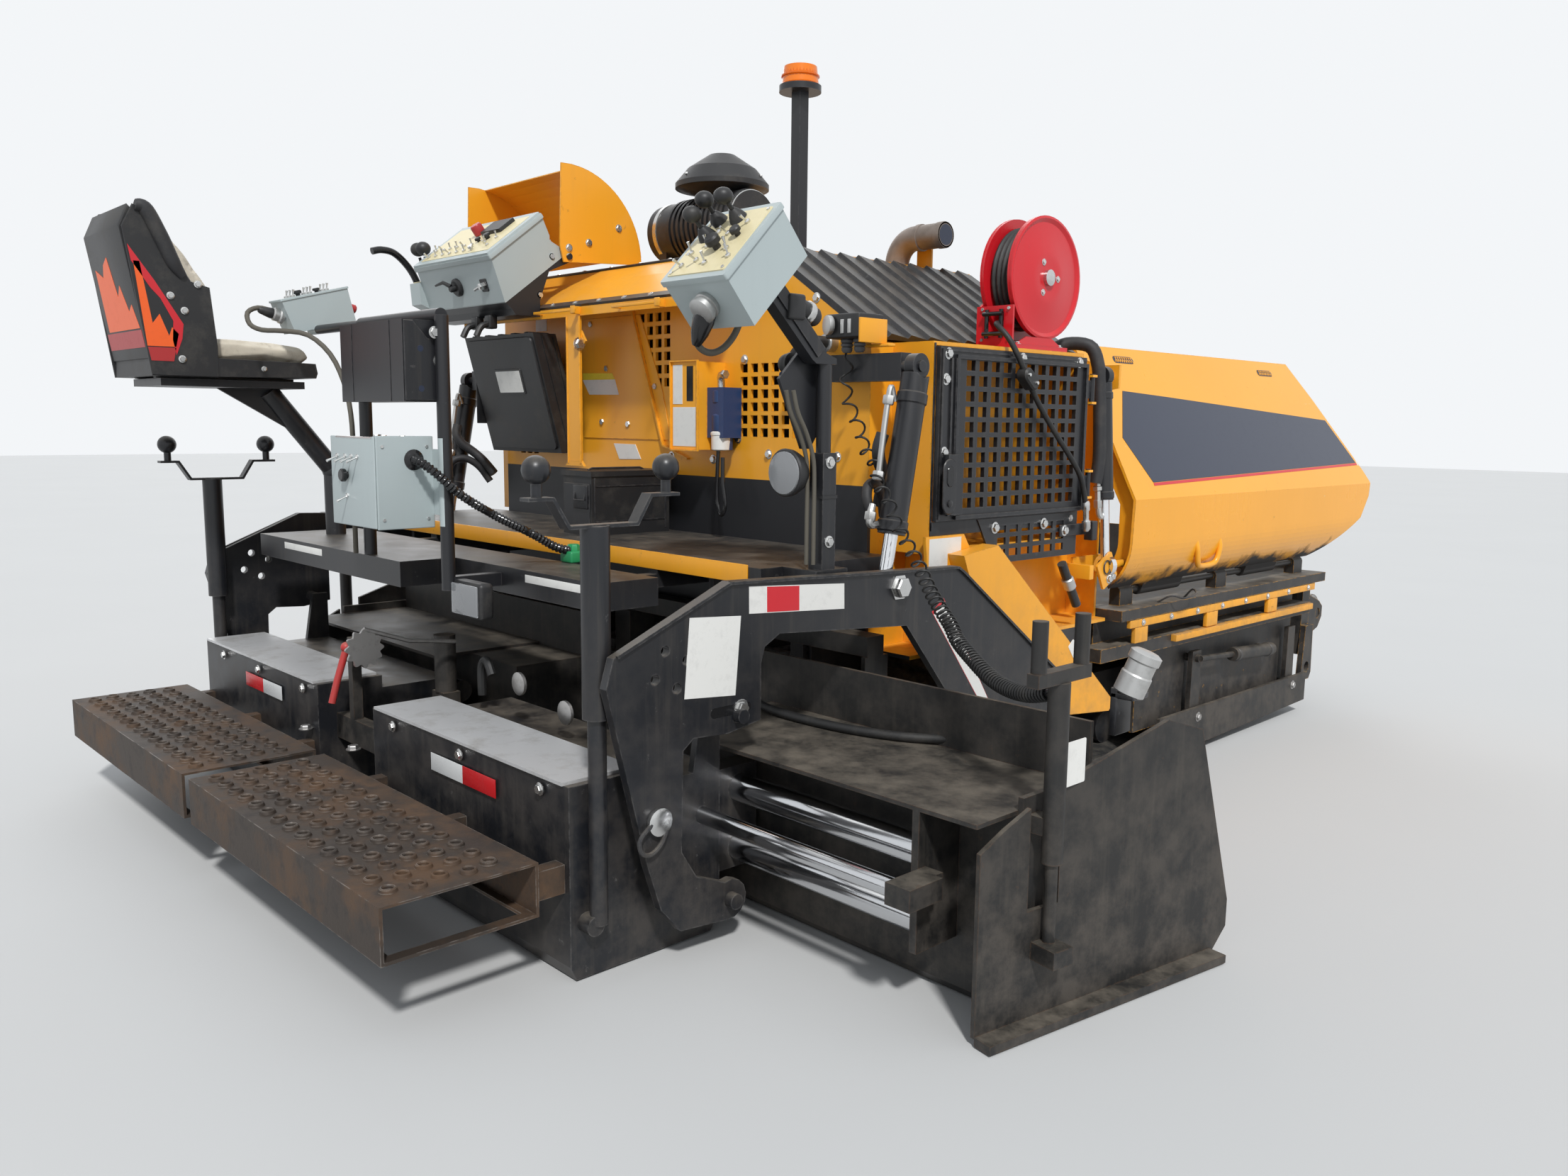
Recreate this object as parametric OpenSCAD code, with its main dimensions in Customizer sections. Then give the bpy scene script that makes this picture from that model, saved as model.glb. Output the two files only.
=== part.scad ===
/* [Screed] */
// Half width of the main screed
screed_half_w = 1220; // [1200:5:1225]
// Height of the screed box tops
screed_top = 480; // [460:5:500]
// Fore and aft depth of the screed boxes
screed_depth = 458; // [450:2:460]
// How far the right extension stands out
right_reach = 620; // [300:10:700]
// How far the left extension stands out
left_reach = 20; // [10:10:300]
// Height of the walk boards' tread
walkboard_top = 320; // [300:5:340]
// Fore and aft depth of a walk board
walkboard_depth = 380; // [340:10:420]
// Height of the soles above the ground
sole_gap = 5; // [4:1:12]

/* [Tracks] */
// Distance between the rear and front track wheels
track_base = 1470; // [1440:10:1500]
// Radius over the shoes
track_r = 300; // [290:1:302]
// Width of a track shoe
track_w = 330; // [300:10:340]

/* [Body] */
// Half width between the conveyor side plates
tunnel_half_w = 700; // [680:5:705]
// Height of the operator deck
deck_z = 930; // [920:5:940]
// Height of the hood
hood_z = 1880; // [1860:5:1900]
// Height of the right shoulder, where the tread panel ends
shoulder_z = 1560; // [1550:5:1580]
// Thickness of the body sheet
sheet = 12; // [8:1:14]

/* [Hopper] */
// Height of the ledge that carries the wings
ledge_z = 662; // [655:1:670]
// How far forward the wings reach
nose_y = 4490; // [4450:10:4560]

/* [Hidden] */
$fn = 48;

yellow = [0.95, 0.60, 0.06];
black = [0.10, 0.10, 0.11];
grey = [0.62, 0.66, 0.67];
steel = [0.75, 0.76, 0.78];
rubber = [0.06, 0.06, 0.06];
red = [0.75, 0.05, 0.08];
rust = [0.30, 0.20, 0.14];

fit = 0.3;    // gap between pieces that touch or turn in each other
run = 5;      // gap between pieces that move past each other

// Main places: body walls, tow point and wing hinge
body_y = [1180, 2290];
body_x = [-1010, 1060];
floor_z = 622;
shoulder_x = 560;
frame_t = 20;
// track middle, beside the side plates, and the plate that stands outside the track
track_x = tunnel_half_w + frame_t + 70 + track_w / 2;
guard_x = track_x + track_w / 2 + 45;
guard_t = 15;
tow = [1850, 430];
tow_pin_r = 30;
tow_out = guard_x + 63;
strut_out = tow_out + 62;
arm_x = [screed_half_w + 75, screed_half_w + 100];
tow_pin_x = [tow_out, max(arm_x[1], strut_out) + 25];
lift_x = arm_x[0] - 33;
wing_y0 = 2300;
wing_hinge = [guard_x + 25, ledge_z + 50];
walkboard_y1 = -80;
// top of the hood sheet, which everything on the hood stands on
hood_top = hood_z + sheet + 2 * fit;

// The machine is modelled about its own middle plane and the screed's rear face, then
// moved so that its bounding box stands centred on the origin
centre_x = (right_reach - left_reach) / 2;
centre_y = (nose_y + walkboard_y1 - walkboard_depth) / 2;
module placed() { translate([-centre_x, -centre_y, 0]) children(); }

// A box from its low corner to its high corner
module span(x, y, z) {
    translate([x[0], y[0], z[0]]) cube([x[1] - x[0], y[1] - y[0], z[1] - z[0]]);
}
// An outline in Y and Z, drawn out along X
module along_x(x) {
    translate([x[0], 0, 0]) rotate([90, 0, 90]) linear_extrude(x[1] - x[0]) children();
}
// An outline in X and Z, drawn out along Y
module along_y(y) {
    translate([0, y[1], 0]) rotate([90, 0, 0]) linear_extrude(y[1] - y[0]) children();
}
// A round bar along X at a place in Y and Z
module bar_x(x, yz, r) {
    translate([x[0], yz[0], yz[1]]) rotate([0, 90, 0]) cylinder(h = x[1] - x[0], r = r);
}
// A round bar along Y at a place in X and Z
module bar_y(y, xz, r) {
    translate([xz[0], y[1], xz[1]]) rotate([90, 0, 0]) cylinder(h = y[1] - y[0], r = r);
}
// A round bar between two points
module rod(a, b, r) {
    d = b - a;
    n = norm(d);
    translate(a) rotate([0, acos(d[2] / n), atan2(d[1], d[0])]) cylinder(h = n, r = r);
}
// A copy on the machine's other side
module on_side(side) {
    if (side > 0) children();
    else mirror([1, 0, 0]) children();
}
// A grid of openings
module slots(columns, rows, pitch, size) {
    for (i = [0:columns - 1], k = [0:rows - 1])
        translate([i * pitch[0], k * pitch[1]]) square(size);
}
// Points of an arc about c from angle a0 to a1
function arc(c, r, a0, a1, n = 10) = [for (i = [0:n]) let (a = a0 + (a1 - a0) * i / n)
    [c[0] + r * cos(a), c[1] + r * sin(a)]];

// Track: a fixed loop whose outline carries the shoes
wheel_y = [1790, 1790 + track_base];
shoe_h = 25;
band_t = 30;
band_r = track_r - shoe_h;
inner_r = band_r - band_t;
shoe_pitch = 90;
loop_len = 2 * track_base + 2 * PI * band_r;
shoe_count = round(loop_len / shoe_pitch);
// Point of the loop at distance s along the band, at height h from the wheels' axes
function on_loop(s, h) =
    s < track_base ? [wheel_y[0] + s, track_r - h] :
    s < track_base + PI * band_r ? let (a = -90 + (s - track_base) / band_r * 180 / PI)
        [wheel_y[1] + h * cos(a), track_r + h * sin(a)] :
    s < 2 * track_base + PI * band_r ?
        [wheel_y[1] - (s - track_base - PI * band_r), track_r + h] :
    let (a = 90 + (s - 2 * track_base - PI * band_r) / band_r * 180 / PI)
        [wheel_y[0] + h * cos(a), track_r + h * sin(a)];
module track(side) color(rubber) on_side(side) {
    p = loop_len / shoe_count;
    outer = [for (i = [0:shoe_count - 1]) each [
        on_loop((i + 0.06) * p, band_r), on_loop((i + 0.14) * p, track_r),
        on_loop((i + 0.50) * p, track_r), on_loop((i + 0.86) * p, track_r),
        on_loop((i + 0.94) * p, band_r)]];
    along_x([track_x - track_w / 2, track_x + track_w / 2]) difference() {
        polygon(outer);
        translate([wheel_y[0], track_r - inner_r]) square([track_base, 2 * inner_r]);
        for (y = wheel_y) translate([y, track_r]) circle(r = inner_r);
    }
}
roller_r = 65;
module track_frame(side) color(black) on_side(side) {
    wheel_x = [track_x - 60, track_x + 60];
    difference() {
        union() {
            for (y = wheel_y) bar_x(wheel_x, [y, track_r], inner_r - fit);
            span([track_x - 75, track_x + 75], [wheel_y[0] - 40, wheel_y[1] + 40],
                [track_r - 60, track_r + 60]);
        }
        for (y = wheel_y, a = [30:60:330])
            bar_x([track_x - 80, track_x + 80], [y + 155 * cos(a), track_r + 155 * sin(a)], 45);
    }
    for (i = [1:4]) {
        y = wheel_y[0] + track_base * i / 5;
        bar_x(wheel_x, [y, track_r - inner_r + roller_r + fit], roller_r);
    }
    for (y = [2100, 2850])
        span([tunnel_half_w + frame_t, track_x - 75], [y, y + 160], [track_r - 50, track_r + 50]);
}

// Chassis: side plates, tow brackets and tow pins
beam_y = [4080, 4160];
beam_z = [260, 600];
roller = [4390, 420];
push_x = [560, 1110];
module chassis_frame() placed() color(black) for (s = [-1, 1]) on_side(s) {
    along_x([tunnel_half_w, tunnel_half_w + frame_t]) polygon([[body_y[0] + 110, 150], [3950, 150],
        [beam_y[0] - fit, beam_z[0]], [beam_y[0] - fit, ledge_z - 40], [body_y[1], ledge_z - 40],
        [body_y[1], floor_z], [body_y[0] + 110, floor_z]]);
    along_x([guard_x + 25, tow_out]) polygon([[1600, floor_z], [1700, 360], [1990, 330], [2150, 500],
        [2150, floor_z]]);
    bar_x(tow_pin_x, tow, tow_pin_r);
}
// Members between the side plates, and the end wall that the conveyors empty through
cross_y = [1700, 2500, 3300];
end_wall_y = [body_y[0] + 90, body_y[0] + 110 - fit];
window_x = [60, 640];
module cross_members() placed() color(black) {
    inner = tunnel_half_w - fit;
    for (y = cross_y) span([-inner, inner], [y, y + 80], [150, 230]);
    difference() {
        span([-inner, inner], end_wall_y, [250, floor_z]);
        for (s = [-1, 1]) on_side(s) span(window_x, end_wall_y + [-1, 1], [400, 600]);
    }
}
// Front beam with the push roller brackets and the tie-down lugs
beam_half = guard_x + 25;
tie_down = [4115, 200];
tie_down_r = 26;
module front_beam() placed() color(black) {
    span([-beam_half, beam_half], beam_y, beam_z);
    for (s = [-1, 1]) on_side(s) {
        for (x = [push_x[0] - 30, push_x[1] + run]) difference() {
            along_x([x, x + 25]) polygon([[beam_y[1], 280], [4400, 350], [4440, 400], [4440, 450],
                [4400, 480], [beam_y[1], 560]]);
            bar_x([x - 1, x + 26], roller, 25 + fit);
        }
        difference() {
            along_x([beam_half, beam_half + 25]) polygon([tie_down + [-35, -60], tie_down + [35, -60],
                tie_down + [55, -30], tie_down + [45, 200], tie_down + [-35, 200], tie_down + [-55, -30]]);
            bar_x([beam_half - 1, beam_half + 26], tie_down, tie_down_r);
        }
    }
}

// Augers in front of the screed, hung from a cross beam
auger = [1100, 300];
auger_r = 150;
shaft_r = 30;
journal_r = 16;
hanger_x = guard_x;
module auger_frame() placed() color(black) {
    span([-1180, 1180], [1060, 1130], [640, 700]);
    for (x = [-900, -300, 300, 900]) span([x - 20, x + 20], [1130, body_y[0]], [640, 700]);
    difference() {
        union() {
            span([-45, 45], [1040, 1150], [240, 640]);
            for (s = [-1, 1]) on_side(s) span([hanger_x, 1180], [1050, 1150], [240, 640]);
        }
        bar_x([-1200, 1200], auger, journal_r + fit);
    }
}
flight_turns = 4;
module auger_screw(side) color(steel) on_side(side) {
    x = [50, hanger_x - run];
    bar_x([x[0] - 35, hanger_x + 10], auger, journal_r);
    bar_x(x, auger, shaft_r);
    translate([x[0] + 10, auger[0], auger[1]]) rotate([0, 90, 0])
        linear_extrude(x[1] - x[0] - 20, twist = 360 * flight_turns * side, slices = 20 * flight_turns,
            segments = 4)
            polygon([[shaft_r - 4, -4], [auger_r, -12], [auger_r, 12], [shaft_r - 4, 4]]);
}

// Hopper bed: conveyor floor, ledges, side plates, hinge knuckles and front apron
bed_z = 400;
knuckle_y = [2400, 3150, 3900];
knuckle_w = 90;
knuckle_r = 22;
hinge_pin_r = 12;
module hopper_bed() placed() color(black) {
    bed_y = [body_y[0] + 110, beam_y[0]];
    span([-tunnel_half_w, tunnel_half_w], bed_y, [bed_z - 12, bed_z]);
    along_y(bed_y) polygon([[-45, bed_z], [45, bed_z], [45, 520], [0, 570], [-45, 520]]);
    for (s = [-1, 1]) on_side(s) {
        along_x([tunnel_half_w, guard_x + 120]) polygon([[body_y[1] + run, ledge_z - 40],
            [beam_y[0], ledge_z - 40], [beam_y[0], ledge_z], [body_y[1] + run, ledge_z]]);
        span([guard_x, guard_x + guard_t], [2600, 3985], [140, ledge_z - 40]);
        span([guard_x + guard_t, guard_x + 100], [2200, 3985], [480, 530]);
        for (y = knuckle_y) {
            span([wing_hinge[0] - knuckle_r, wing_hinge[0] + knuckle_r], [y, y + knuckle_w],
                [ledge_z, wing_hinge[1]]);
            bar_y([y, y + knuckle_w], wing_hinge, knuckle_r);
        }
        bar_y([knuckle_y[0], knuckle_y[2] + knuckle_w], wing_hinge, hinge_pin_r);
        span([guard_x - guard_t, guard_x + guard_t], [2280, 2600], [480, ledge_z - 40]);
    }
    along_x([-1100, 1100]) polygon([[beam_y[0], 600], [beam_y[0] + 13, 600], [4155, 800], [4142, 804]]);
}
module conveyor_slats() placed() color(steel) {
    for (s = [-1, 1]) on_side(s) {
        for (x = [60, 640]) span([x, x + 30], [1310, 4060], [bed_z, bed_z + 20]);
        for (y = [1330:170:4000]) span([90, 640], [y, y + 30], [bed_z, bed_z + 30]);
        for (y = [1330:170:4000]) span([60, 670], [y, y + 30], [bed_z + 20, bed_z + 30]);
    }
}

// Skirt: plate close to the ground, hung on levers with a small cylinder
module skirt(side) color(black) on_side(side) {
    skirt_x = guard_x + guard_t + 50;
    lever_x = [skirt_x - 25, skirt_x - 5];
    along_x([skirt_x, skirt_x + 15]) polygon([[2690, 25], [4040, 60], [4040, 190], [2690, 190]]);
    for (y = [3000, 3900]) {
        along_x(lever_x) polygon([[y - 40, 110], [y + 40, 110], [y + 35, 420], [y - 35, 420]]);
        bar_x([guard_x + guard_t, skirt_x], [y, 150], 22);
    }
    ram_x = skirt_x + 10;
    bar_x([guard_x + guard_t, ram_x], [3000, 390], 16);
    bar_x([guard_x + guard_t, ram_x], [3650, 350], 16);
    rod([ram_x, 3000, 390], [ram_x, 3300, 371], 12);
    rod([ram_x, 3280, 372], [ram_x, 3650, 350], 28);
}

// Body: hollow shell of sheet with cut grilles
roof_profile = [[body_x[1], shoulder_z], [shoulder_x, hood_z], [body_x[0], hood_z]];
module rear_wall_cuts() {
    translate([-280, 1440]) slots(8, 6, [50, 46], [34, 30]);
    translate([480, 1270]) slots(6, 6, [50, 42], [34, 28]);
    translate([-900, 1180]) slots(3, 4, [50, 46], [34, 30]);
}
hood_bend = [1172, 1822];
hood_flat_y = 1280;
// Height under the sloping part of the hood at a place along Y
function under_hood(y) = hood_bend[1] - sheet
    + (y - hood_bend[0]) * (hood_z - hood_bend[1] + sheet) / (hood_flat_y - hood_bend[0]);
side_post_x = guard_x + 15;
module body_shell() placed() color(yellow) {
    inner_y = [body_y[0] + sheet, body_y[1] - sheet];
    along_y([body_y[0], inner_y[0]]) difference() {
        polygon([[body_x[0], floor_z], [body_x[1], floor_z], [body_x[1], shoulder_z], [shoulder_x, hood_z],
            [shoulder_x, under_hood(body_y[0])], [body_x[0], under_hood(body_y[0])]]);
        rear_wall_cuts();
    }
    along_y([inner_y[1], body_y[1]]) difference() {
        polygon([[-side_post_x, floor_z], [side_post_x, floor_z], [side_post_x, 1440],
            [side_post_x + 55, 1450], [side_post_x + 55, 1530], [side_post_x, 1530],
            [body_x[1], shoulder_z], [shoulder_x, hood_z], [body_x[0], hood_z], [-side_post_x, 1530],
            [-side_post_x - 55, 1530], [-side_post_x - 55, 1450], [-side_post_x, 1440]]);
        translate([-tunnel_half_w, 0]) square([2 * tunnel_half_w, 640]);
    }
    along_x([body_x[0], body_x[0] + sheet]) polygon([[inner_y[0], floor_z + sheet],
        [inner_y[1], floor_z + sheet], [inner_y[1], hood_z], [hood_flat_y, hood_z],
        [inner_y[0], under_hood(inner_y[0])]]);
    span([body_x[1] - sheet, body_x[1]], inner_y, [floor_z + sheet, shoulder_z]);
    for (s = [-1, 1]) on_side(s)
        span([tunnel_half_w, tow_out - fit], inner_y, [floor_z, floor_z + sheet]);
    span([-tunnel_half_w, tunnel_half_w], inner_y, [640, 640 + sheet]);
    // boxes that carry the struts
    span([body_x[1], tow_out - fit], [1360, 1520], [floor_z + sheet, deck_z - fit]);
    span([fit - tow_out, body_x[0]], [1360, 1520], [floor_z + sheet, deck_z - fit]);
    // pins that the wing cylinders hang on
    for (s = [-1, 1]) on_side(s) bar_y([2190, inner_y[1]], wing_cyl_top, 14);
}
// Struts from the body down to the tow point
module struts() placed() color(yellow) for (s = [-1, 1]) on_side(s) difference() {
    along_x([tow_out, strut_out]) polygon([[1360, deck_z - 2], [1400, 840], [1770, 360], [2230, 310],
        [2260, 340], [1530, deck_z + 20]]);
    bar_x([tow_out - 1, strut_out + 1], tow, tow_pin_r + fit);
}
module hood() placed() color(yellow) {
    t = sheet;
    hood_x = [body_x[0] - 15, shoulder_x];
    under = hood_bend - [0, t - fit];
    span(hood_x, [hood_flat_y, body_y[1]], [hood_z + fit, hood_z + fit + t]);
    along_x(hood_x) polygon([[1000, 1720], [1000, 1690], [1010, 1690], [1010, 1716], under,
        [hood_flat_y, hood_z + fit], [hood_flat_y, hood_z + fit + t], hood_bend + [0, t]]);
    // bracket behind the exhaust, and the flat bar that hangs below the lip
    span([shoulder_x - 70, shoulder_x], [2055, 2063], [hood_z + fit, hood_top + 148]);
    span([-275, -195], [1000, 1010], [1150, 1700]);
}
module tread_panel() placed() color(black) {
    ridges = 12;
    pitch = (body_y[1] - body_y[0]) / ridges;
    run_x = body_x[1] - shoulder_x;
    drop = hood_z - shoulder_z;
    slope = atan2(drop, run_x);
    // the ridges stop short of the reel's foot
    edge_back = 16;
    translate([shoulder_x, 0, hood_z]) rotate([0, slope, 0])
        along_x([0, norm([run_x, drop]) - edge_back]) polygon(concat([[body_y[1], fit], [body_y[0], fit]],
            [for (i = [0:ridges - 1]) each [[body_y[0] + i * pitch, 22],
                [body_y[0] + (i + 0.92) * pitch, 10]]], [[body_y[1], 10]]));
}
module engine_block() placed() color(grey) {
    span([-420, 420], [1300, 2100], [640 + sheet, 1500]);
}
side_box_x = 1215;
side_box_y = [1280, 2080];
door_pin = [side_box_x + 28, side_box_y[1] + 15];
door_pin_r = 9;
door_hinge_z = [1080, 1400];
module radiator_box() placed() color(yellow) {
    difference() {
        span([body_x[1], side_box_x], side_box_y, [deck_z, shoulder_z]);
        span([body_x[1] + sheet, side_box_x + 1], [side_box_y[0] + sheet, side_box_y[1] - sheet],
            [deck_z + sheet, shoulder_z - sheet]);
    }
    // hinge lugs of the door, above and below each of its knuckles
    for (z = door_hinge_z, end = [-9, 81]) difference() {
        span([side_box_x - 20, door_pin[0] + 12], [side_box_y[1], door_pin[1] + 12],
            [z + end, z + end + 8]);
        translate([door_pin[0], door_pin[1], z + end - 1]) cylinder(h = 10, r = door_pin_r + fit);
    }
}
module fuel_tank() placed() color(yellow) {
    span([-side_box_x, body_x[0]], side_box_y, [deck_z, shoulder_z]);
    translate([-1110, 1450, shoulder_z]) cylinder(h = 40, r = 45);
}
door_z = [deck_z + 100, shoulder_z - 15];
module grille_door() placed() color(black) {
    y = [side_box_y[0] + 10, side_box_y[1] - 10];
    x = [side_box_x + run, side_box_x + 20];
    along_x(x) difference() {
        polygon([[y[0], door_z[0]], [y[1], door_z[0]], [y[1], door_z[1]], [y[0], door_z[1]]]);
        translate([y[0] + 125, door_z[0] + 35]) slots(10, 10, [62, 46], [42, 31]);
    }
    for (z = door_hinge_z) {
        translate([door_pin[0], door_pin[1], z - 12]) cylinder(h = 104, r = door_pin_r);
        span([x[1] - 8, door_pin[0]], [y[1] - 5, door_pin[1]], [z + 10, z + 70]);
    }
    // latch plate
    span([x[1], x[1] + 27], [y[0] + 20, y[0] + 90], [door_z[0] + 20, door_z[0] + 200]);
}
// Fixed grille below the door, cut to the slope of the strut
module lower_grille() placed() color(black) {
    y = [side_box_y[0] + 230, side_box_y[1] - 10];
    x = [side_box_x + fit, side_box_x + 8];
    along_x(x) difference() {
        polygon([[y[0], door_z[0] - 5], [y[0] + 90, deck_z - 50], [y[1], deck_z - 50], [y[1], door_z[0] - 5]]);
        translate([y[0] + 105, deck_z - 30]) slots(6, 3, [66, 38], [46, 24]);
    }
}
// Ribbed canister that lies across the hood, with a mushroom cap on its neck
cleaner = [1560, 2050];
cleaner_r = 112;
cap_x = -60;
cap_r = 177;
module air_cleaner() placed() color(black) {
    bar_x([-380, 120], cleaner, cleaner_r);
    for (x = [-250:28:86]) bar_x([x, x + 14], cleaner, cleaner_r + 8);
    for (x = [-340, 50]) span([x, x + 40], [cleaner[0] - 80, cleaner[0] + 80], [hood_top, cleaner[1] - 60]);
    translate([cap_x, cleaner[0], cleaner[1]]) {
        cylinder(h = 125, r = 55);
        translate([0, 0, 105]) cylinder(h = 30, r1 = 60, r2 = cap_r - 12);
        translate([0, 0, 135]) cylinder(h = 18, r = cap_r);
        translate([0, 0, 153]) cylinder(h = 55, r1 = cap_r, r2 = 130);
        translate([0, 0, 208]) cylinder(h = 52, r1 = 130, r2 = 50);
    }
}
module exhaust_pipe() placed() color(steel) {
    r = 45;
    bend = 90;
    riser = 15;
    translate([440, 2000, hood_top]) {
        cylinder(h = riser, r = r);
        translate([bend, 0, riser]) rotate([90, 0, 180]) rotate_extrude(angle = 90)
            translate([bend, 0]) circle(r = r);
        translate([bend, 0, riser + bend]) rotate([0, 90, 0]) cylinder(h = 140, r = r);
    }
}
module beacon_mast() placed() color(black) {
    span([500, 540], [1380, 1420], [hood_top, 2400]);
    translate([520, 1400, 2400]) cylinder(h = 20, r = 70);
    translate([520, 1400, 2420]) cylinder(h = 60, r1 = 62, r2 = 55);
}

// Hose reel on the radiator box
reel = [1875, 1793];
reel_r = 195;
reel_x = [1072, 1185];
reel_shaft_r = 14;
module reel_frame() placed() color(red) {
    base_y = [reel[0] - 195, reel[0] + 110];
    base_z = shoulder_z + 14;
    span([reel_x[0] - 8, reel_x[1] + 25], base_y, [shoulder_z, base_z]);
    along_x([reel_x[0] - 8, reel_x[0]]) polygon([[base_y[0], base_z], [base_y[1], base_z],
        reel + [30, 35], reel + [-30, 35], [base_y[0], base_z + 110]]);
    bar_x([reel_x[0], reel_x[1] + 12], reel, reel_shaft_r);
    // plate with the window that the hose leaves through
    translate([0, base_y[0] + 8, 0]) difference() {
        span([reel_x[0] - 8, reel_x[1] + 20], [-8, 0], [base_z, base_z + 120]);
        span([reel_x[0] + 30, reel_x[1] - 15], [-9, 1], [base_z + 25, base_z + 100]);
    }
}
module reel_drum() placed() color(red) difference() {
    union() {
        for (x = [reel_x[0] + run, reel_x[1] - 8]) bar_x([x, x + 8], reel, reel_r);
        bar_x([reel_x[0] + run, reel_x[1]], reel, 95);
    }
    bar_x([reel_x[0], reel_x[1] + 1], reel, reel_shaft_r + fit);
}

// Operator deck with its rear step, and the platform behind it
module operator_deck() placed() color(black) {
    span([-1150, 1150], [660, body_y[0] - fit], [deck_z - 40, deck_z]);
    for (s = [-1, 1]) on_side(s) {
        span([900, 920], [690, body_y[0] - fit], [770, deck_z - 40]);
        span([1150, 1280], [740, 860], [deck_z - 40, deck_z]);
    }
}
platform_z = 880;
module rear_platform() placed() color(black) {
    span([-1120, 30], [180, 560], [800, platform_z]);
    span([30, 820], [365, 570], [800, platform_z]);
    for (x = [-700, 660]) span([x, x + 40], [560, 660 - fit], [810, 870]);
    for (x = [-700, 660]) span([x, x + 40], [660 - fit, 900], [deck_z - 40 - 60, deck_z - 40]);
}
module storage_boxes() placed() color(black) {
    // tool box on the deck and the case that leans on the wall
    span([-30, 140], [815, 1145], [deck_z, deck_z + 200]);
    span([-35, 145], [810, 1150], [deck_z + 200, deck_z + 218]);
    along_x([-960, -450]) polygon([[1085, 1190], [body_y[0] - fit, 1190], [body_y[0] - fit, 1230],
        [1065, 1640], [965, 1640]]);
    span([-800, -600], [1120, body_y[0] - fit], [1200, 1560]);
}
module spray_pump() placed() color(yellow) {
    // housing, with the pump and its bowl at the housing's open side
    wall_y = body_y[0] - fit;
    span([264, 402], [wall_y - 120, wall_y], [1224, 1515]);
    span([402, 485], [wall_y - 80, wall_y], [1265, 1430]);
    translate([445, wall_y - 45, 1225]) cylinder(h = 42, r = 32);
}
rail_x = [-215, 300];
rail_y = 200;
module rail_boxes() placed() color(black) {
    // hooped rail, the two boxes that it carries and the small control box beside the seat
    for (x = rail_x) translate([x, rail_y, x > 0 ? 820 : platform_z]) cylinder(h = x > 0 ? 790 : 730, r = 20);
    bar_x(rail_x, [rail_y, 1610], 20);
    span([rail_x[1] - 18, rail_x[1] + 18], [rail_y, 365 - fit], [820, 860]);
    span([-130, 280], [90, rail_y - 5], [1365, 1595]);
    span([-30, 250], [10, rail_y - 15], [1010, 1260]);
    span([rail_x[0], rail_x[1]], [rail_y - 16, rail_y - 6], [1040, 1230]);
    bar_x([-660, rail_x[0]], [rail_y + 20, 1612], 15);
    along_x([-700, -600]) polygon([[100, 1698], [142, 1596], [352, 1652], [326, 1759]]);
}
seat_post = [-940, 395];
seat_x = [-1160, -720];
module seat() placed() color(black) {
    span(seat_x, [-280, 270], [1440, 1505]);
    // cushion with its rounded front, and the back
    along_x(seat_x + [20, -20]) polygon([[-120, 1505], [275, 1505], [290, 1530], [270, 1552], [100, 1568],
        [-120, 1568]]);
    along_x(seat_x) polygon([[-280, 1505], [-63, 1505], [-75, 1750], [-140, 1765], [-280, 1990],
        [-310, 1990], [-345, 1900]]);
}
module seat_arm() placed() color(black) {
    knee = [seat_post[0], seat_post[1], 1120];
    translate([seat_post[0], seat_post[1], platform_z + fit]) cylinder(h = 240, r = 36);
    translate(knee) sphere(r = 41);
    rod(knee, [seat_post[0], 167, 1408], 36);
    along_x([seat_post[0] - 6, seat_post[0] + 6]) polygon([[-10, 1415], [200, 1415], [290, 1240]]);
    span([seat_post[0] - 150, seat_post[0] + 150], [-230, 240], [1415, 1440 - fit]);
}
console_x = [-1100, -450];
cover_pin = [1120, 1930];
cover_pin_r = 12;
cover_r = 340;
cover_t = 6;
cover_x = [console_x[0] - 30, console_x[1] + 16];
module center_console() placed() color(grey) {
    // cabinet, the smaller box at its left and the tilted bracket below both
    along_x([console_x[0] + 80, console_x[1]]) polygon([[798, 1893], [850, 1743], [880, 1720],
        [985, 1760], [1045, 1890], [1045, 2000], [1015, 2062]]);
    along_x([console_x[0], console_x[0] + 80]) polygon([[805, 1850], [812, 1766], [900, 1730],
        [985, 1760], [1045, 1890], [960, 1890]]);
    along_x(console_x) polygon([[865, 1738], [895, 1700], [1000 - fit, 1700], [1000 - fit, 1760],
        [1060, 1920], [1050, 1985], [1040, 1985], [985, 1790]]);
    // hinge of the cover: two lugs and a pin
    for (x = [console_x[0], console_x[1] - 15])
        along_x([x, x + 15]) polygon([[1040, 1870], cover_pin + [10, -20], cover_pin + [18, 0],
            cover_pin + [0, 20], [1040, 1985]]);
    bar_x([cover_x[0] - 6, cover_x[1] + 6], cover_pin, cover_pin_r);
}
module console_cover() placed() color(yellow) {
    for (x = [cover_x[0], cover_x[1] - cover_t]) along_x([x, x + cover_t]) difference() {
        polygon(concat([cover_pin - [24, 22]], arc(cover_pin, cover_r, 0, 95, 12),
            [cover_pin + [-40, 40]]));
        translate(cover_pin) circle(r = cover_pin_r + fit);
    }
    along_x(cover_x) polygon(concat(arc(cover_pin, cover_r, 5, 82, 10),
        arc(cover_pin, cover_r - 4, 82, 5, 10)));
}
mast = [1250, 790];
mast_top = 1470;
mast_r = 20;
pivot_r = 10;
clamp_pin = [735, 1472];
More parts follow.
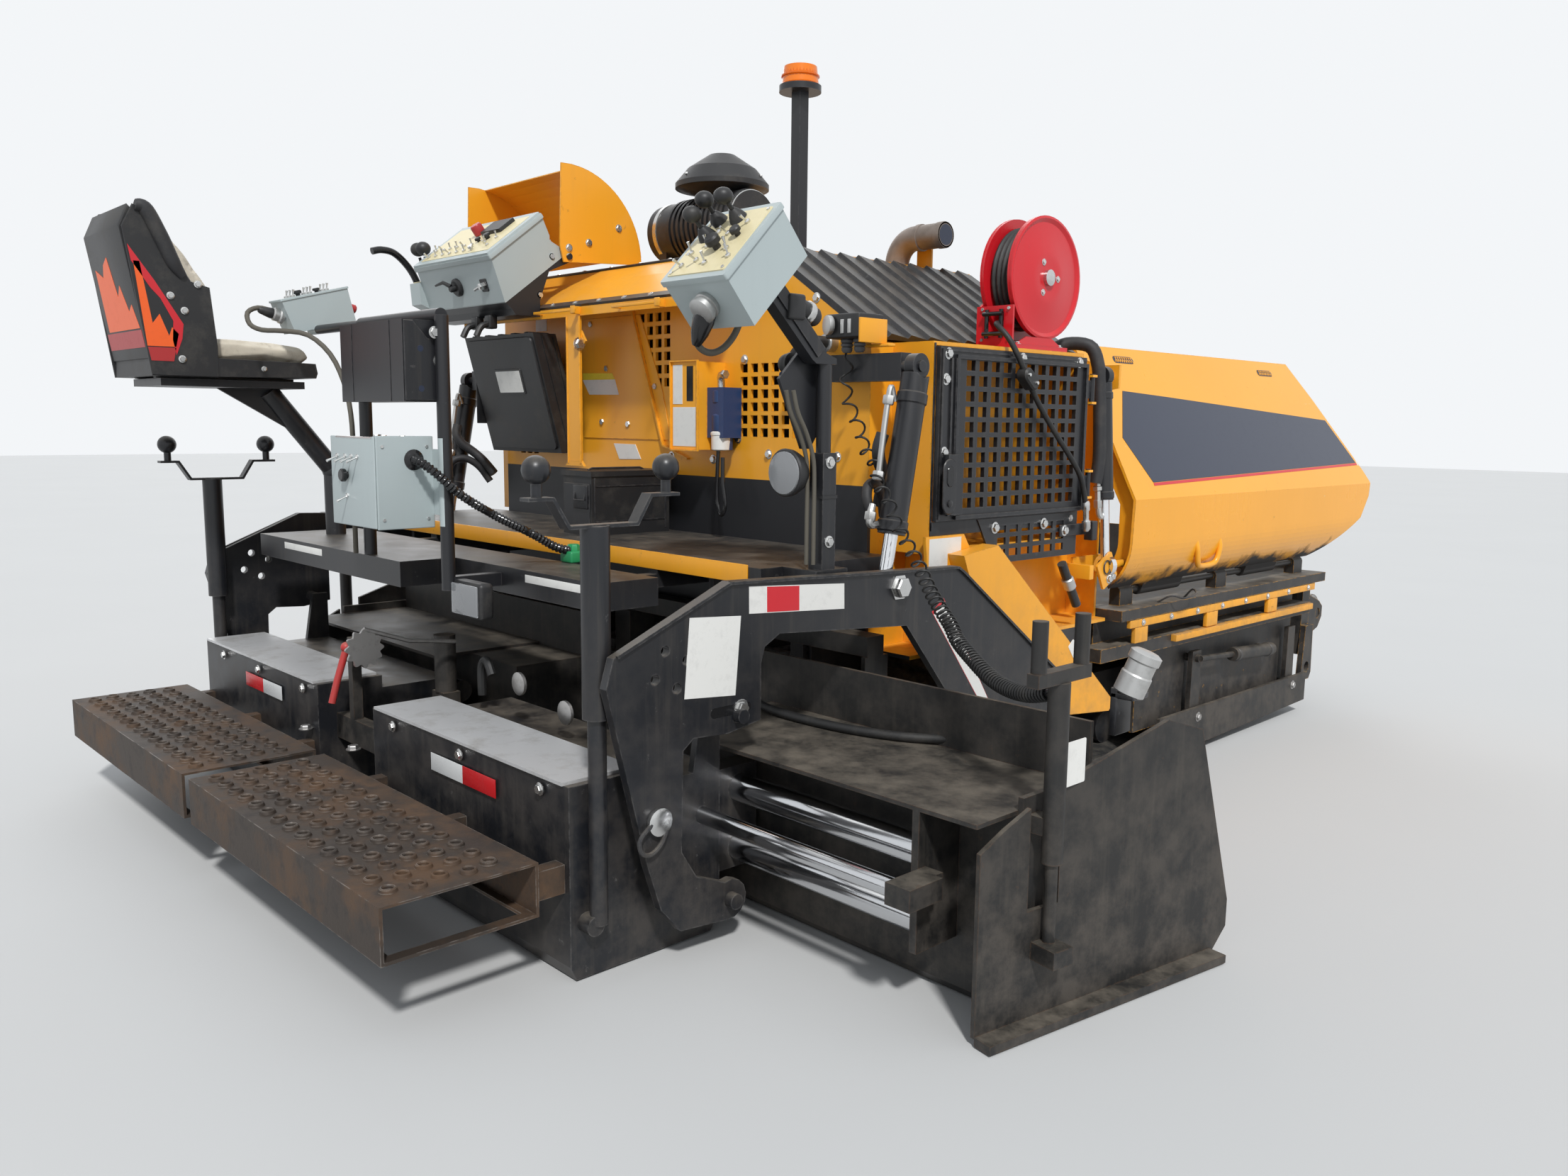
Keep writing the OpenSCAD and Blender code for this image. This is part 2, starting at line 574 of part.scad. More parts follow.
module right_mast() placed() color(black) {
    // square post, round where the console's plate turns about it, with the console's pivot on top
    span([mast[0] - 25, mast[0] + 25], [mast[1] - 25, mast[1] + 25], [deck_z, 1240]);
    translate([mast[0], mast[1], 1230]) cylinder(h = mast_top - 1230, r = mast_r);
    translate([mast[0], mast[1], mast_top - 1]) cylinder(h = 13, r = pivot_r);
}
module right_console() placed() color(grey) {
    foot_z = mast_top + fit;
    plate_x = [mast[0] - 35, mast[0] - 25];
    arm_side = mast[0] - 20;
    difference() {
        along_x([arm_side, mast[0] + 20]) polygon([[740, foot_z], [mast[1] + 25, foot_z],
            [mast[1] + 25, 1486], [770, 1500], [577, 1690], [541, 1655], [725, 1480]]);
        translate([mast[0], mast[1], foot_z - 1]) cylinder(h = 13, r = pivot_r + fit);
    }
    // plate that the console tilts on, its spacer and its clamp pin
    along_x(plate_x) polygon([[650, 1430], [730, 1510], [822, 1516], [822, 1330], [765, 1250], [735, 1250]]);
    along_x([plate_x[1], arm_side]) polygon([[740, 1476], [mast[1] + 25, 1476], [mast[1] + 25, 1486],
        [770, 1500], [745, 1500]]);
    bar_x([mast[0] - 60, plate_x[0]], clamp_pin, 20);
    along_x([mast[0] - 120, mast[0] + 110]) polygon([[355, 1644], [441, 1543], [612, 1720], [526, 1821]]);
}

// Hopper wing: curved shell cut to its side outline, with ribs and hinge knuckles
wing_t = 10;
wing_bulge = [1089, 905];
wing_r = 214;
wing_bend = [1303, 1060];
wing_top = [1000, 1615];
wing_low_a = -52;
module wing_section(depth) {
    // depth is the thickness measured inwards from the outer skin
    lean = atan2(wing_bend[0] - wing_top[0], wing_top[1] - wing_bend[1]);
    inner_bend = wing_bend - [depth, depth * tan(lean / 2)];
    inner_top = wing_top - depth * [cos(lean), sin(lean)];
    polygon(concat(arc(wing_bulge, wing_r, wing_low_a, 0), [wing_bend, wing_top, inner_top, inner_bend],
        arc(wing_bulge, wing_r - depth, 0, wing_low_a)));
}
module wing_side() {
    // side outline, seen from the right
    polygon(concat([[wing_y0, 700], [wing_y0 + 10, 900], [wing_y0 + 50, wing_top[1] + 1]],
        [[4150, wing_top[1] + 1], [4270, 1450], [nose_y - 20, 1120], [nose_y, 1070], [nose_y - 10, 1000],
        [4400, 900], [3920, 700]]));
}
wing_cyl_top = [1205, 1490];
wing_cyl_pin = [1250, 830];
module wing(side) color(yellow) on_side(side) {
    intersection() {
        union() {
            along_y([wing_y0, nose_y]) wing_section(wing_t);
            along_y([wing_y0 + 50, wing_y0 + 62]) wing_section(80);
            along_y([4120, 4132]) wing_section(80);
        }
        along_x([900, 1400]) wing_side();
    }
    for (y = [2550, 3400]) difference() {
        union() {
            bar_y([y, y + 300], wing_hinge, knuckle_r);
            along_y([y, y + 300]) polygon([wing_hinge, wing_hinge + [16, -14], [1226, 752], [1216, 757],
                wing_hinge + [0, 20]]);
        }
        bar_y([y - 1, y + 301], wing_hinge, hinge_pin_r + fit);
    }
    bar_y([2190, wing_y0 + 55], wing_cyl_pin, 14);
}

// Cylinders. Each hangs from its top pin and points at its rod's eye
eye_play = 11;
module barrel(length, r, bore_r, bore_depth, pin_r, eye_w) {
    difference() {
        union() {
            rotate([0, 90, 0]) cylinder(h = eye_w, r = pin_r + 20, center = true);
            translate([0, 0, -length]) cylinder(h = length - pin_r - 8, r = r);
        }
        rotate([0, 90, 0]) cylinder(h = eye_w + 2, r = pin_r + fit, center = true);
        rotate([0, 90, 0]) for (s = [-1, 1]) translate([0, 0, s > 0 ? eye_w / 2 : -r - 1 - eye_w / 2])
            cylinder(h = r + 1, r = pin_r + 20 + fit);
        translate([0, 0, -length - 1]) cylinder(h = bore_depth + 1, r = bore_r + fit);
    }
}
module piston_rod(from, to, r, pin_r, eye_w) {
    difference() {
        union() {
            translate([0, 0, -to]) cylinder(h = to - from, r = r);
            translate([0, 0, -to]) rotate([0, 90, 0]) cylinder(h = eye_w, r = pin_r + eye_play + 14, center = true);
        }
        translate([0, 0, -to]) rotate([0, 90, 0]) cylinder(h = 2 * r + 2 + eye_w, r = pin_r + eye_play, center = true);
    }
}
wing_cyl_y = 2225;
wing_cyl_len = norm(wing_cyl_pin - wing_cyl_top);
module wing_cylinder_place(side) on_side(side)
    translate([wing_cyl_top[0], wing_cyl_y, wing_cyl_top[1]])
        rotate([0, -asin((wing_cyl_pin[0] - wing_cyl_top[0]) / wing_cyl_len), 0]) rotate([0, 0, 90])
            children();
module wing_barrel(side) color(black) wing_cylinder_place(side) barrel(430, 30, 16, 250, 14, 30);
module wing_rod(side) color(steel) wing_cylinder_place(side)
    piston_rod(230, wing_cyl_len, 16, 14, 26);

lift_top = [1150, 1480];
lift_pin = [1030, 866];
lift_len = norm(lift_pin - lift_top);
module lift_cylinder_place(side) on_side(side) translate([lift_x, lift_top[0], lift_top[1]])
    rotate([-asin((lift_top[0] - lift_pin[0]) / lift_len), 0, 0]) children();
module lift_barrel(side) color(black) lift_cylinder_place(side) barrel(480, 40, 20, 220, 16, 34);
module lift_rod(side) color(steel) lift_cylinder_place(side) piston_rod(350, lift_len, 20, 16, 26);
module lift_bracket() placed() color(black) for (s = [-1, 1]) on_side(s) {
    inner = lift_x - 46;
    span([940, inner], [1135, body_y[0] - fit], [1440, 1520]);
    bar_x([inner, lift_x + 23], lift_top, 16);
}

// Main screed: two hollow boxes with end plates, pins and guide housings
tube_y = 540;
tube_z = [205, 365];
tube_r = 38;
piston = [400, 325];
arm_low = [410, 127];
arm_high = [430, 600];
gap_half = 200;
module screed_frame() placed() color(black) for (s = [-1, 1]) on_side(s) {
    wall = 10;
    d = screed_depth;
    difference() {
        along_x([gap_half, screed_half_w]) polygon([[0, 40], [15, sole_gap], [d - 30, sole_gap], [d, 45],
            [d, 440], [215, 440], [215, screed_top], [0, screed_top]]);
        along_x([gap_half + wall, screed_half_w - 2 * wall]) polygon([[wall, 40], [20, sole_gap + wall],
            [d - 35, sole_gap + wall], [d - wall, 50], [d - wall, 430], [205, 430],
            [205, screed_top - wall], [wall, screed_top - wall]]);
        bar_x([screed_half_w - 40, screed_half_w + 1], piston, 22 + fit);
    }
    // tower for the upper arm bolt, pins, and the housings of the guide tubes
    along_x([screed_half_w - 20, screed_half_w]) polygon([[370, 440], [d, 440], [d, 620], [400, 620]]);
    bar_x([screed_half_w, arm_x[1] + 25], arm_low, 20);
    bar_x([screed_half_w, arm_x[1] + 25], arm_high, 18);
    difference() {
        span([1130, 1205], [d, 600], [150, 425]);
        for (z = tube_z) bar_x([1120, 1210], [tube_y, z], tube_r + fit);
    }
}
module screed_covers() placed() color(steel) for (s = [-1, 1]) on_side(s)
    span([gap_half + 20, screed_half_w - 20], [-6, 205], [screed_top, screed_top + 8]);
module crown_adjuster() placed() color(red) {
    span([-gap_half, gap_half], [60, 100], [300, 380]);
    span([-100, -70], [60, 90], [380, 640]);
    bar_x([-gap_half, gap_half], [300, 200], 25);
    translate([-100, 420, 0]) span([-40, 40], [-60, 0], [300, 420]);
    bar_x([-gap_half, gap_half], [390, 330], 14);
    translate([-100, 390, 420]) cylinder(h = 190, r = 35);
}
module walkboards() placed() color(rust) for (s = [-1, 1]) on_side(s) {
    x = [30, 1215];
    y = [walkboard_y1 - walkboard_depth, walkboard_y1];
    z = [190, walkboard_top];
    difference() {
        span(x, y, z);
        span([x[0] - 1, x[1] + 1], [y[0] + 8, y[1] - 8], [z[0] + 8, z[1] - 6]);
        span([x[0] + 30, x[1] - 30], [y[0] + 30, y[1] - 30], [z[0] - 1, z[0] + 9]);
    }
    // hinge lugs on the screed's rear face
    for (lx = [240, 700, 1160]) span([lx, lx + 40], [walkboard_y1, 0], [220, 290]);
}
module depth_crank(side) color(black) on_side(side) {
    // jack link from the screed up to the crank
    bar_x([screed_half_w, 1262], [44, 144], 24);
    translate([1250, 60, 144]) cylinder(h = 500, r = 22);
    translate([1250, 60, 640]) cylinder(h = 445, r = 34);
    // bent strip with a ball knob on a pin at each end
    along_x([1232, 1268]) polygon([[-120, 1145], [-60, 1145], [-20, 1080], [170, 1080], [210, 1145],
        [290, 1145], [290, 1153], [205, 1153], [165, 1088], [-15, 1088], [-55, 1153], [-120, 1153]]);
    for (y = [-90, 262]) {
        translate([1250, y, 1153]) cylinder(h = 40, r = 12);
        translate([1250, y, 1212]) sphere(r = 32, $fn = 24);
    }
}
arm_holes = [222, 742];
// Tow arm: plate bent over the extension, from the screed to the tow point
module tow_arm(side) color(black) on_side(side) difference() {
    union() {
        along_x(arm_x) difference() {
            polygon(concat([[150, 280], [37, 721], [58, 790], [400, 936], [1290, 906], [1330, 885],
                [1905, 475]], arc(tow, 75, 20, -100, 8), [[1610, 355], [1430, 370], [1253, 538],
                [1067, 753], [571, 788], [520, 760], [508, 720], [508, 575], [400, 558], [290, 565],
                [258, 540], [253, 290], [300, 215]], arc(arm_low, 52, 110, -100, 8), [[250, 90],
                [190, 160]]));
            translate(tow) circle(r = tow_pin_r + fit);
            translate(arm_low) circle(r = 20 + fit);
            translate(arm_high) circle(r = 18 + fit);
            for (a = [20:90:290]) translate(arm_holes + 50 * [cos(a), sin(a)]) circle(r = 13);
        }
        bar_x([lift_x - 32, arm_x[0]], lift_pin, 16);
        bar_x([arm_x[1], arm_x[1] + 20], lift_pin, 24);
    }
}

// Extension: box that slides out in front of the main screed on two guide tubes
ext_end = 1405;
ext_y = [620, 900];
// end gate: its turn from the machine's direction, its travel, its post and the crank over it
gate_turn = 9.6;
gate_lift = 100;
gate_post_r = 14;
gate_post_z = [180, 480];
crank = [1470, 660];
crank_arm_y = [crank[1] - 20, crank[1] + 20];
crank_z = [380, 780];
crank_arm_z = [440, 480];
module extension_at(side, reach) placed() on_side(side) translate([reach, 0, 0]) children();
module extension_part() color(black) {
    wall = 10;
    x = [15, ext_end];
    difference() {
        along_x(x) polygon([[ext_y[0], 30], [ext_y[0] + 20, sole_gap], [ext_y[1] - 30, sole_gap],
            [ext_y[1], 40], [ext_y[1], 480], [ext_y[0], 480]]);
        along_x([x[0] + wall, x[1] - wall]) polygon([[ext_y[0] + wall, 30],
            [ext_y[0] + 25, sole_gap + wall], [ext_y[1] - 35, sole_gap + wall], [ext_y[1] - wall, 45],
            [ext_y[1] - wall, 480 - wall], [ext_y[0] + wall, 480 - wall]]);
    }
    span(x, [ext_y[1], ext_y[1] + 12], [60, 640]);
    span([320, ext_end], [475, ext_y[1]], [480, 490]);
    // plate that holds the guide tubes and the piston rod
    span([1230, 1250], [475, ext_y[0]], [150, 480]);
    for (z = tube_z) bar_x([250, 1230], [tube_y, z], tube_r);
    span([1250, 1320], [365, 475], [300, 350]);
    bar_x([310, 1250], piston, 22);
    span([1250, 1300], [475, 500], [300, 350]);
    // outer guide of the end gate, with the crank tube
    span([ext_end, ext_end + 15], [ext_y[0], ext_y[1] + 12], [60, 520]);
    difference() {
        union() {
            translate([crank[0], crank[1], crank_z[0]]) cylinder(h = crank_z[1] - crank_z[0], r = 24);
            span([ext_end + 15, crank[0]], crank_arm_y, crank_arm_z);
        }
        translate([crank[0], crank[1], crank_z[0] - 1])
            cylinder(h = gate_post_z[1] + gate_lift + 20 - crank_z[0], r = gate_post_r + fit);
    }
    span([crank[0] - 15, crank[0] + 15], [crank[1] - 100, crank[1] + 100], [crank_z[1], crank_z[1] + 30]);
    for (y = [-80, 80]) translate([crank[0], crank[1] + y, crank_z[1] + 30]) cylinder(h = 110, r = 17);
}
module end_gate_part() color(black) {
    translate([ext_end + 30, ext_y[0] + 10, 0]) rotate([0, 0, -gate_turn]) {
        along_x([0, 12]) difference() {
            polygon([[-160, 20], [-160, 430], [-90, 470], [60, 540], [430, 640], [560, 600], [700, 140],
                [700, 70], [640, sole_gap], [-140, sole_gap]]);
            translate([-15, crank_z[0] - gate_lift - 8]) square([95, crank_z[1] - crank_z[0]]);
        }
        span([12, 60], [-160, 640], [sole_gap, sole_gap + 20]);
        span([12, 80], [0, 60], [160, 200]);
    }
    translate([crank[0], crank[1], gate_post_z[0]])
        cylinder(h = gate_post_z[1] - gate_post_z[0], r = gate_post_r);
}

module push_roller(side) color(black) on_side(side) {
    bar_x([push_x[0] - 25, push_x[1] + 25], roller, 25);
    bar_x([push_x[0], push_x[1]], roller, 88);
}

// The nodes
module tracks() placed() for (s = [-1, 1]) track(s);
module track_frames() placed() for (s = [-1, 1]) track_frame(s);
module skirts() placed() for (s = [-1, 1]) skirt(s);
module auger_right() placed() auger_screw(1);
module auger_left() placed() auger_screw(-1);
module push_roller_right() placed() push_roller(1);
module push_roller_left() placed() push_roller(-1);
module wing_right() placed() wing(1);
module wing_left() placed() wing(-1);
module wing_barrel_right() placed() wing_barrel(1);
module wing_barrel_left() placed() wing_barrel(-1);
module wing_rod_right() placed() wing_rod(1);
module wing_rod_left() placed() wing_rod(-1);
module lift_barrel_right() placed() lift_barrel(1);
module lift_barrel_left() placed() lift_barrel(-1);
module lift_rod_right() placed() lift_rod(1);
module lift_rod_left() placed() lift_rod(-1);
module tow_arms() placed() for (s = [-1, 1]) tow_arm(s);
module depth_cranks() placed() for (s = [-1, 1]) depth_crank(s);
module extension_right() extension_at(1, right_reach) extension_part();
module end_gate_right() extension_at(1, right_reach) end_gate_part();
module extension_left() extension_at(-1, left_reach) extension_part();
module end_gate_left() extension_at(-1, left_reach) end_gate_part();

chassis_frame();
cross_members();
front_beam();
struts();
tracks();
track_frames();
hopper_bed();
conveyor_slats();
skirts();
body_shell();
hood();
tread_panel();
engine_block();
radiator_box();
fuel_tank();
air_cleaner();
exhaust_pipe();
beacon_mast();
reel_frame();
reel_drum();
grille_door();
lower_grille();
operator_deck();
rear_platform();
storage_boxes();
spray_pump();
rail_boxes();
lift_bracket();
seat();
seat_arm();
center_console();
console_cover();
right_mast();
right_console();
auger_frame();
auger_right();
auger_left();
push_roller_right();
push_roller_left();
wing_right();
wing_left();
wing_barrel_right();
wing_barrel_left();
wing_rod_right();
wing_rod_left();
lift_barrel_right();
lift_barrel_left();
lift_rod_right();
lift_rod_left();
screed_frame();
screed_covers();
crown_adjuster();
walkboards();
tow_arms();
depth_cranks();
extension_right();
end_gate_right();
extension_left();
end_gate_left();
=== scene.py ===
"""Dresses the tracked asphalt paver: finishes for every solid, trim, hoses, cushions, stage and camera."""
import functools
import math

import bmesh
import bpy
import numpy as np
from mathutils import Matrix, Vector


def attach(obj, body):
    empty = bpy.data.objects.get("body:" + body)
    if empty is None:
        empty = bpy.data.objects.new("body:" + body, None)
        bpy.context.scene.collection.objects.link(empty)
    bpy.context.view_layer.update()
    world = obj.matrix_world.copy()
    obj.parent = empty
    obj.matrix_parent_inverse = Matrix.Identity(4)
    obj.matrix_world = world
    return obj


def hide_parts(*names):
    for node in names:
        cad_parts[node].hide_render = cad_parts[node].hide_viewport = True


bl_info = {
    "name": "Asphalt Paver Dressing",
    "version": (1, 0, 0),
    "blender": (4, 5, 0),
    "location": "View3D > Sidebar > Paver",
    "description": "Finishes, trim, hoses and cushions for a tracked asphalt paver",
    "category": "Object",
}

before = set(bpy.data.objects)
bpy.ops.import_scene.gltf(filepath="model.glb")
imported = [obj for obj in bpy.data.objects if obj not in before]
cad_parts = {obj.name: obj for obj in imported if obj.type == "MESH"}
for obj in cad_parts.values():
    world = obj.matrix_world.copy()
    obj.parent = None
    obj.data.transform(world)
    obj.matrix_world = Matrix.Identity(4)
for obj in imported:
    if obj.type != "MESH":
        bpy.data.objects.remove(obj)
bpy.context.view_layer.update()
# Machine coordinates (middle plane, screed's rear face, ground) to the row frame
SHIFT = np.array([0.300, 2.015, 0.0])
TURN = 2 * math.pi
SIDES = ((1, "right"), (-1, "left"))
RIGHT, LEFT, AHEAD, BACK, UP, DOWN = (1, 0, 0), (-1, 0, 0), (0, 1, 0), (0, -1, 0), (0, 0, 1), (0, 0, -1)


def at(*place):
    """A place in machine coordinates, given in the row frame."""
    return np.array(place, float) - SHIFT


def unit(v):
    """Vectors scaled to length one along the last axis."""
    v = np.asarray(v, float)
    return v / np.maximum(np.linalg.norm(v, axis=-1, keepdims=True), 1e-12)


def across(axis):
    """Two unit vectors square to an axis and to each other."""
    axis = unit(axis)
    side = np.cross(axis, (0, 0, 1) if abs(axis[2]) < 0.9 else (0, 1, 0))
    side = unit(side)
    return side, np.cross(axis, side)


class Skin:
    """Gathers grids of points into one closed mesh."""

    def __init__(self):
        self.points, self.faces, self.marks, self.count = [], [], [], 0

    def grid(self, p, wrap=True, caps=True, mark=0):
        """Joins p[i, j] to its neighbours along both parameters. wrap closes j, caps close the ends of i."""
        p = np.asarray(p, float)
        rows, cols = p.shape[:2]
        index = np.arange(rows * cols).reshape(rows, cols) + self.count
        right = np.roll(index, -1, 1) if wrap else index[:, 1:]
        left = index if wrap else index[:, :-1]
        quads = np.stack([left[:-1], right[:-1], right[1:], left[1:]], -1).reshape(-1, 4)
        faces = quads.tolist()
        if caps:
            faces += [index[0, ::-1].tolist(), index[-1].tolist()]
        self.points.append(p.reshape(-1, 3))
        self.faces += faces
        self.marks += [mark] * len(faces)
        self.count += rows * cols
        return self

    def piece(self, name, body, finishes, smooth=35, slot=None):
        """Makes the object, with its place in its mesh, and lets it ride on a body."""
        mesh = bpy.data.meshes.new(name)
        mesh.from_pydata(np.concatenate(self.points).tolist(), [], self.faces)
        for finish in finishes if isinstance(finishes, (list, tuple)) else [finishes]:
            mesh.materials.append(finish)
        mesh.polygons.foreach_set("material_index", self.marks)
        work = bmesh.new()
        work.from_mesh(mesh)
        bmesh.ops.recalc_face_normals(work, faces=work.faces)
        work.to_mesh(mesh)
        work.free()
        mesh.polygons.foreach_set("use_smooth", [smooth > 0] * len(mesh.polygons))
        if smooth:
            mesh.set_sharp_from_angle(angle=math.radians(smooth))
        mesh.update()
        obj = bpy.data.objects.new(name, mesh)
        bpy.context.scene.collection.objects.link(obj)
        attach(obj, body)
        return obj


def lathe(profile, start, axis, sides=24):
    """Radius and height pairs turned about an axis: point = start + h*axis + r*(cos*side + sin*up)."""
    profile = np.asarray(profile, float)
    axis = unit(axis)
    side, up = across(axis)
    a = np.linspace(0, TURN, sides, endpoint=False)
    ring = np.cos(a)[:, None] * side + np.sin(a)[:, None] * up
    return np.asarray(start) + profile[:, 1, None, None] * axis + profile[:, 0, None, None] * ring


def smooth_path(points, count=40):
    """Catmull-Rom curve through points, sampled evenly in its parameter."""
    p = np.asarray(points, float)
    p = np.vstack([2 * p[0] - p[1], p, 2 * p[-1] - p[-2]])
    t = np.linspace(0, len(p) - 3 - 1e-9, count)
    i = t.astype(int)
    f = (t - i)[:, None]
    a, b, c, d = p[i], p[i + 1], p[i + 2], p[i + 3]
    return 0.5 * (2 * b + (c - a) * f + (2 * a - 5 * b + 4 * c - d) * f ** 2 + (3 * b - a - 3 * c + d) * f ** 3)


def tube(path, radius, sides=12):
    """A circle carried along a path. Its plane is square to the path and turned from the path's flattest side."""
    path = np.asarray(path, float)
    along = unit(np.gradient(path, axis=0))
    flat = np.linalg.svd(path - path.mean(0))[2][2]
    side = unit(np.cross(along, flat))
    up = np.cross(side, along)
    a = np.linspace(0, TURN, sides, endpoint=False)
    radius = np.broadcast_to(np.asarray(radius, float), (len(path),))
    ring = np.cos(a)[None, :, None] * side[:, None] + np.sin(a)[None, :, None] * up[:, None]
    return path[:, None] + radius[:, None, None] * ring


def rounded_rect(width, height, r, n=3):
    """Outline of a rectangle with round corners, as points about its middle."""
    a = np.linspace(0, math.pi / 2, n + 1)
    quarter = np.stack([np.cos(a), np.sin(a)], -1) * r
    turns = [np.array([[math.cos(q), math.sin(q)], [-math.sin(q), math.cos(q)]]) for q in np.arange(4) * math.pi / 2]
    corner = np.array([[1, 1], [-1, 1], [-1, -1], [1, -1]]) * [width / 2 - r, height / 2 - r]
    return np.concatenate([c + quarter @ t for c, t in zip(corner, turns)])


def block(low, high, r=0.004, axis=2, n=3, corner=None):
    """Rounded box: a rounded rectangle lofted along an axis, drawn in at both ends by a quarter round."""
    low, high = np.minimum(low, high), np.maximum(low, high)
    size, middle = high - low, (low + high) / 2
    u, v = [i for i in range(3) if i != axis]
    r = min(r, size.min() / 2.01)
    corner = max(corner or r, r)
    a = np.linspace(0, math.pi / 2, n + 1)
    inset = np.concatenate([r * (1 - np.sin(a)), r * (1 - np.sin(a[::-1]))])
    height = np.concatenate([low[axis] + r * (1 - np.cos(a)), high[axis] - r * (1 - np.cos(a[::-1]))])
    rows = []
    for d, h in zip(inset, height):
        outline = rounded_rect(size[u] - 2 * d, size[v] - 2 * d, max(corner - d, 1e-4), n)
        p = np.zeros((len(outline), 3))
        p[:, u], p[:, v], p[:, axis] = outline[:, 0] + middle[u], outline[:, 1] + middle[v], h
        rows.append(p)
    return np.array(rows)


def bolt(place, axis, r=0.012, head=0.009, washer=True, sides=6):
    """Grids of a hexagon head on a washer."""
    place, axis = np.asarray(place, float), unit(axis)
    rim = [(0.6 * r, head), (0.9 * r, head), (r, 0.8 * head)]
    grids = [lathe([(r, 0), *rim[::-1]], place, axis, sides)]
    if washer:
        grids.append(lathe([(1.35 * r, -0.001), (1.35 * r, 0.0015), (1.2 * r, 0.002)], place, axis, 16))
    return grids


# Materials

class Shade:
    """A node material that is built up from small helpers."""

    def __init__(self, name, colour, rough=0.4, metal=0.0, **sockets):
        self.material = bpy.data.materials.new(name)
        self.material.use_nodes = True
        self.material.diffuse_color = (*colour, 1)
        self.tree = self.material.node_tree
        self.bsdf = self.tree.nodes["Principled BSDF"]
        self.place = self.node("ShaderNodeTexCoord").outputs["Object"]
        self.colour, self.rough = None, None
        self.base, self.base_rough = (*colour, 1), rough
        self.bsdf.inputs["Base Color"].default_value = self.base
        self.bsdf.inputs["Roughness"].default_value = rough
        self.bsdf.inputs["Metallic"].default_value = metal
        for key, value in sockets.items():
            self.bsdf.inputs[key.replace("_", " ")].default_value = value

    def node(self, kind, inputs=(), **settings):
        """Adds a node, sets its properties and feeds its inputs with values or sockets."""
        n = self.tree.nodes.new(kind)
        for key, value in settings.items():
            setattr(n, key, value)
        for key, value in dict(inputs).items():
            if isinstance(value, bpy.types.NodeSocket):
                self.tree.links.new(value, n.inputs[key])
            else:
                n.inputs[key].default_value = value
        return n

    def noise(self, scale, detail=4.0, rough=0.6, stretch=None):
        """Noise at a scale, drawn out along an axis by stretch."""
        spot = self.place
        if stretch:
            spot = self.node("ShaderNodeMapping", {"Vector": spot, "Scale": stretch}).outputs[0]
        return self.node("ShaderNodeTexNoise", {"Vector": spot, "Scale": scale, "Detail": detail,
                                                "Roughness": rough}).outputs[0]

    def fade(self, value, low, high, to=(0.0, 1.0)):
        """Maps low to high onto a new span, and holds it there."""
        return self.node("ShaderNodeMapRange", {"Value": value, "From Min": low, "From Max": high,
                                                "To Min": to[0], "To Max": to[1]}).outputs[0]

    def math(self, kind, a, b=0.0):
        """One arithmetic step."""
        return self.node("ShaderNodeMath", {0: a, 1: b}, operation=kind).outputs[0]

    def product(self, *masks):
        """Several masks or weights multiplied."""
        return functools.reduce(lambda a, b: self.math("MULTIPLY", a, b), masks)

    def most(self, *masks):
        """The largest of several masks."""
        return functools.reduce(lambda a, b: self.math("MAXIMUM", a, b), masks)

    def axis(self, name):
        """X, Y or Z of the place."""
        return self.node("ShaderNodeSeparateXYZ", {0: self.place}).outputs[name]

    def below(self, name, level):
        """One where X, Y or Z is below a level, given in machine coordinates."""
        return self.math("LESS_THAN", self.axis(name), float(level - SHIFT["XYZ".index(name)]))

    def above(self, name, level):
        """One where X, Y or Z is above a level, given in machine coordinates."""
        return self.math("GREATER_THAN", self.axis(name), float(level - SHIFT["XYZ".index(name)]))

    def normal(self, name):
        """X, Y or Z of the surface's direction, in the object's own axes."""
        n = self.node("ShaderNodeTexCoord").outputs["Normal"]
        return self.node("ShaderNodeSeparateXYZ", {0: n}).outputs[name]

    def over(self, mask, colour, rough):
        """Lays a colour and a roughness over what is there by a mask."""
        mix = self.node("ShaderNodeMix", {0: mask, 6: self.colour or self.base, 7: (*colour, 1)}, data_type="RGBA")
        self.colour = mix.outputs[2]
        self.tree.links.new(self.colour, self.bsdf.inputs["Base Color"])
        mix = self.node("ShaderNodeMix", {0: mask, 2: self.rough or self.base_rough, 3: rough}, data_type="FLOAT")
        self.rough = mix.outputs[0]
        self.tree.links.new(self.rough, self.bsdf.inputs["Roughness"])

    def bump(self, height, strength, distance):
        """Raises the surface by a height, on top of earlier bumps."""
        n = self.node("ShaderNodeBump", {"Height": height, "Strength": strength, "Distance": distance})
        socket = self.bsdf.inputs["Normal"]
        if socket.is_linked:
            self.tree.links.new(socket.links[0].from_socket, n.inputs["Normal"])
        self.tree.links.new(n.outputs[0], socket)

    def edges(self, radius=0.006):
        """One at outer and inner edges, nought on flats: the bevelled direction against the true one."""
        soft = self.node("ShaderNodeBevel", {"Radius": radius}, samples=4).outputs[0]
        true = self.node("ShaderNodeNewGeometry").outputs["Normal"]
        dot = self.node("ShaderNodeVectorMath", {0: soft, 1: true}, operation="DOT_PRODUCT").outputs["Value"]
        return self.fade(dot, 0.985, 0.80)


FINISH = {}
DUST, SOIL = (0.34, 0.29, 0.22), (0.13, 0.11, 0.09)
YELLOW, BLACK, GREY, MIX = (0.92, 0.40, 0.022), (0.014, 0.0145, 0.017), (0.43, 0.49, 0.49), (0.013, 0.0125, 0.012)
BARE, RUST, DARK_CHIP = (0.16, 0.15, 0.145), (0.10, 0.05, 0.03), (0.03, 0.025, 0.022)

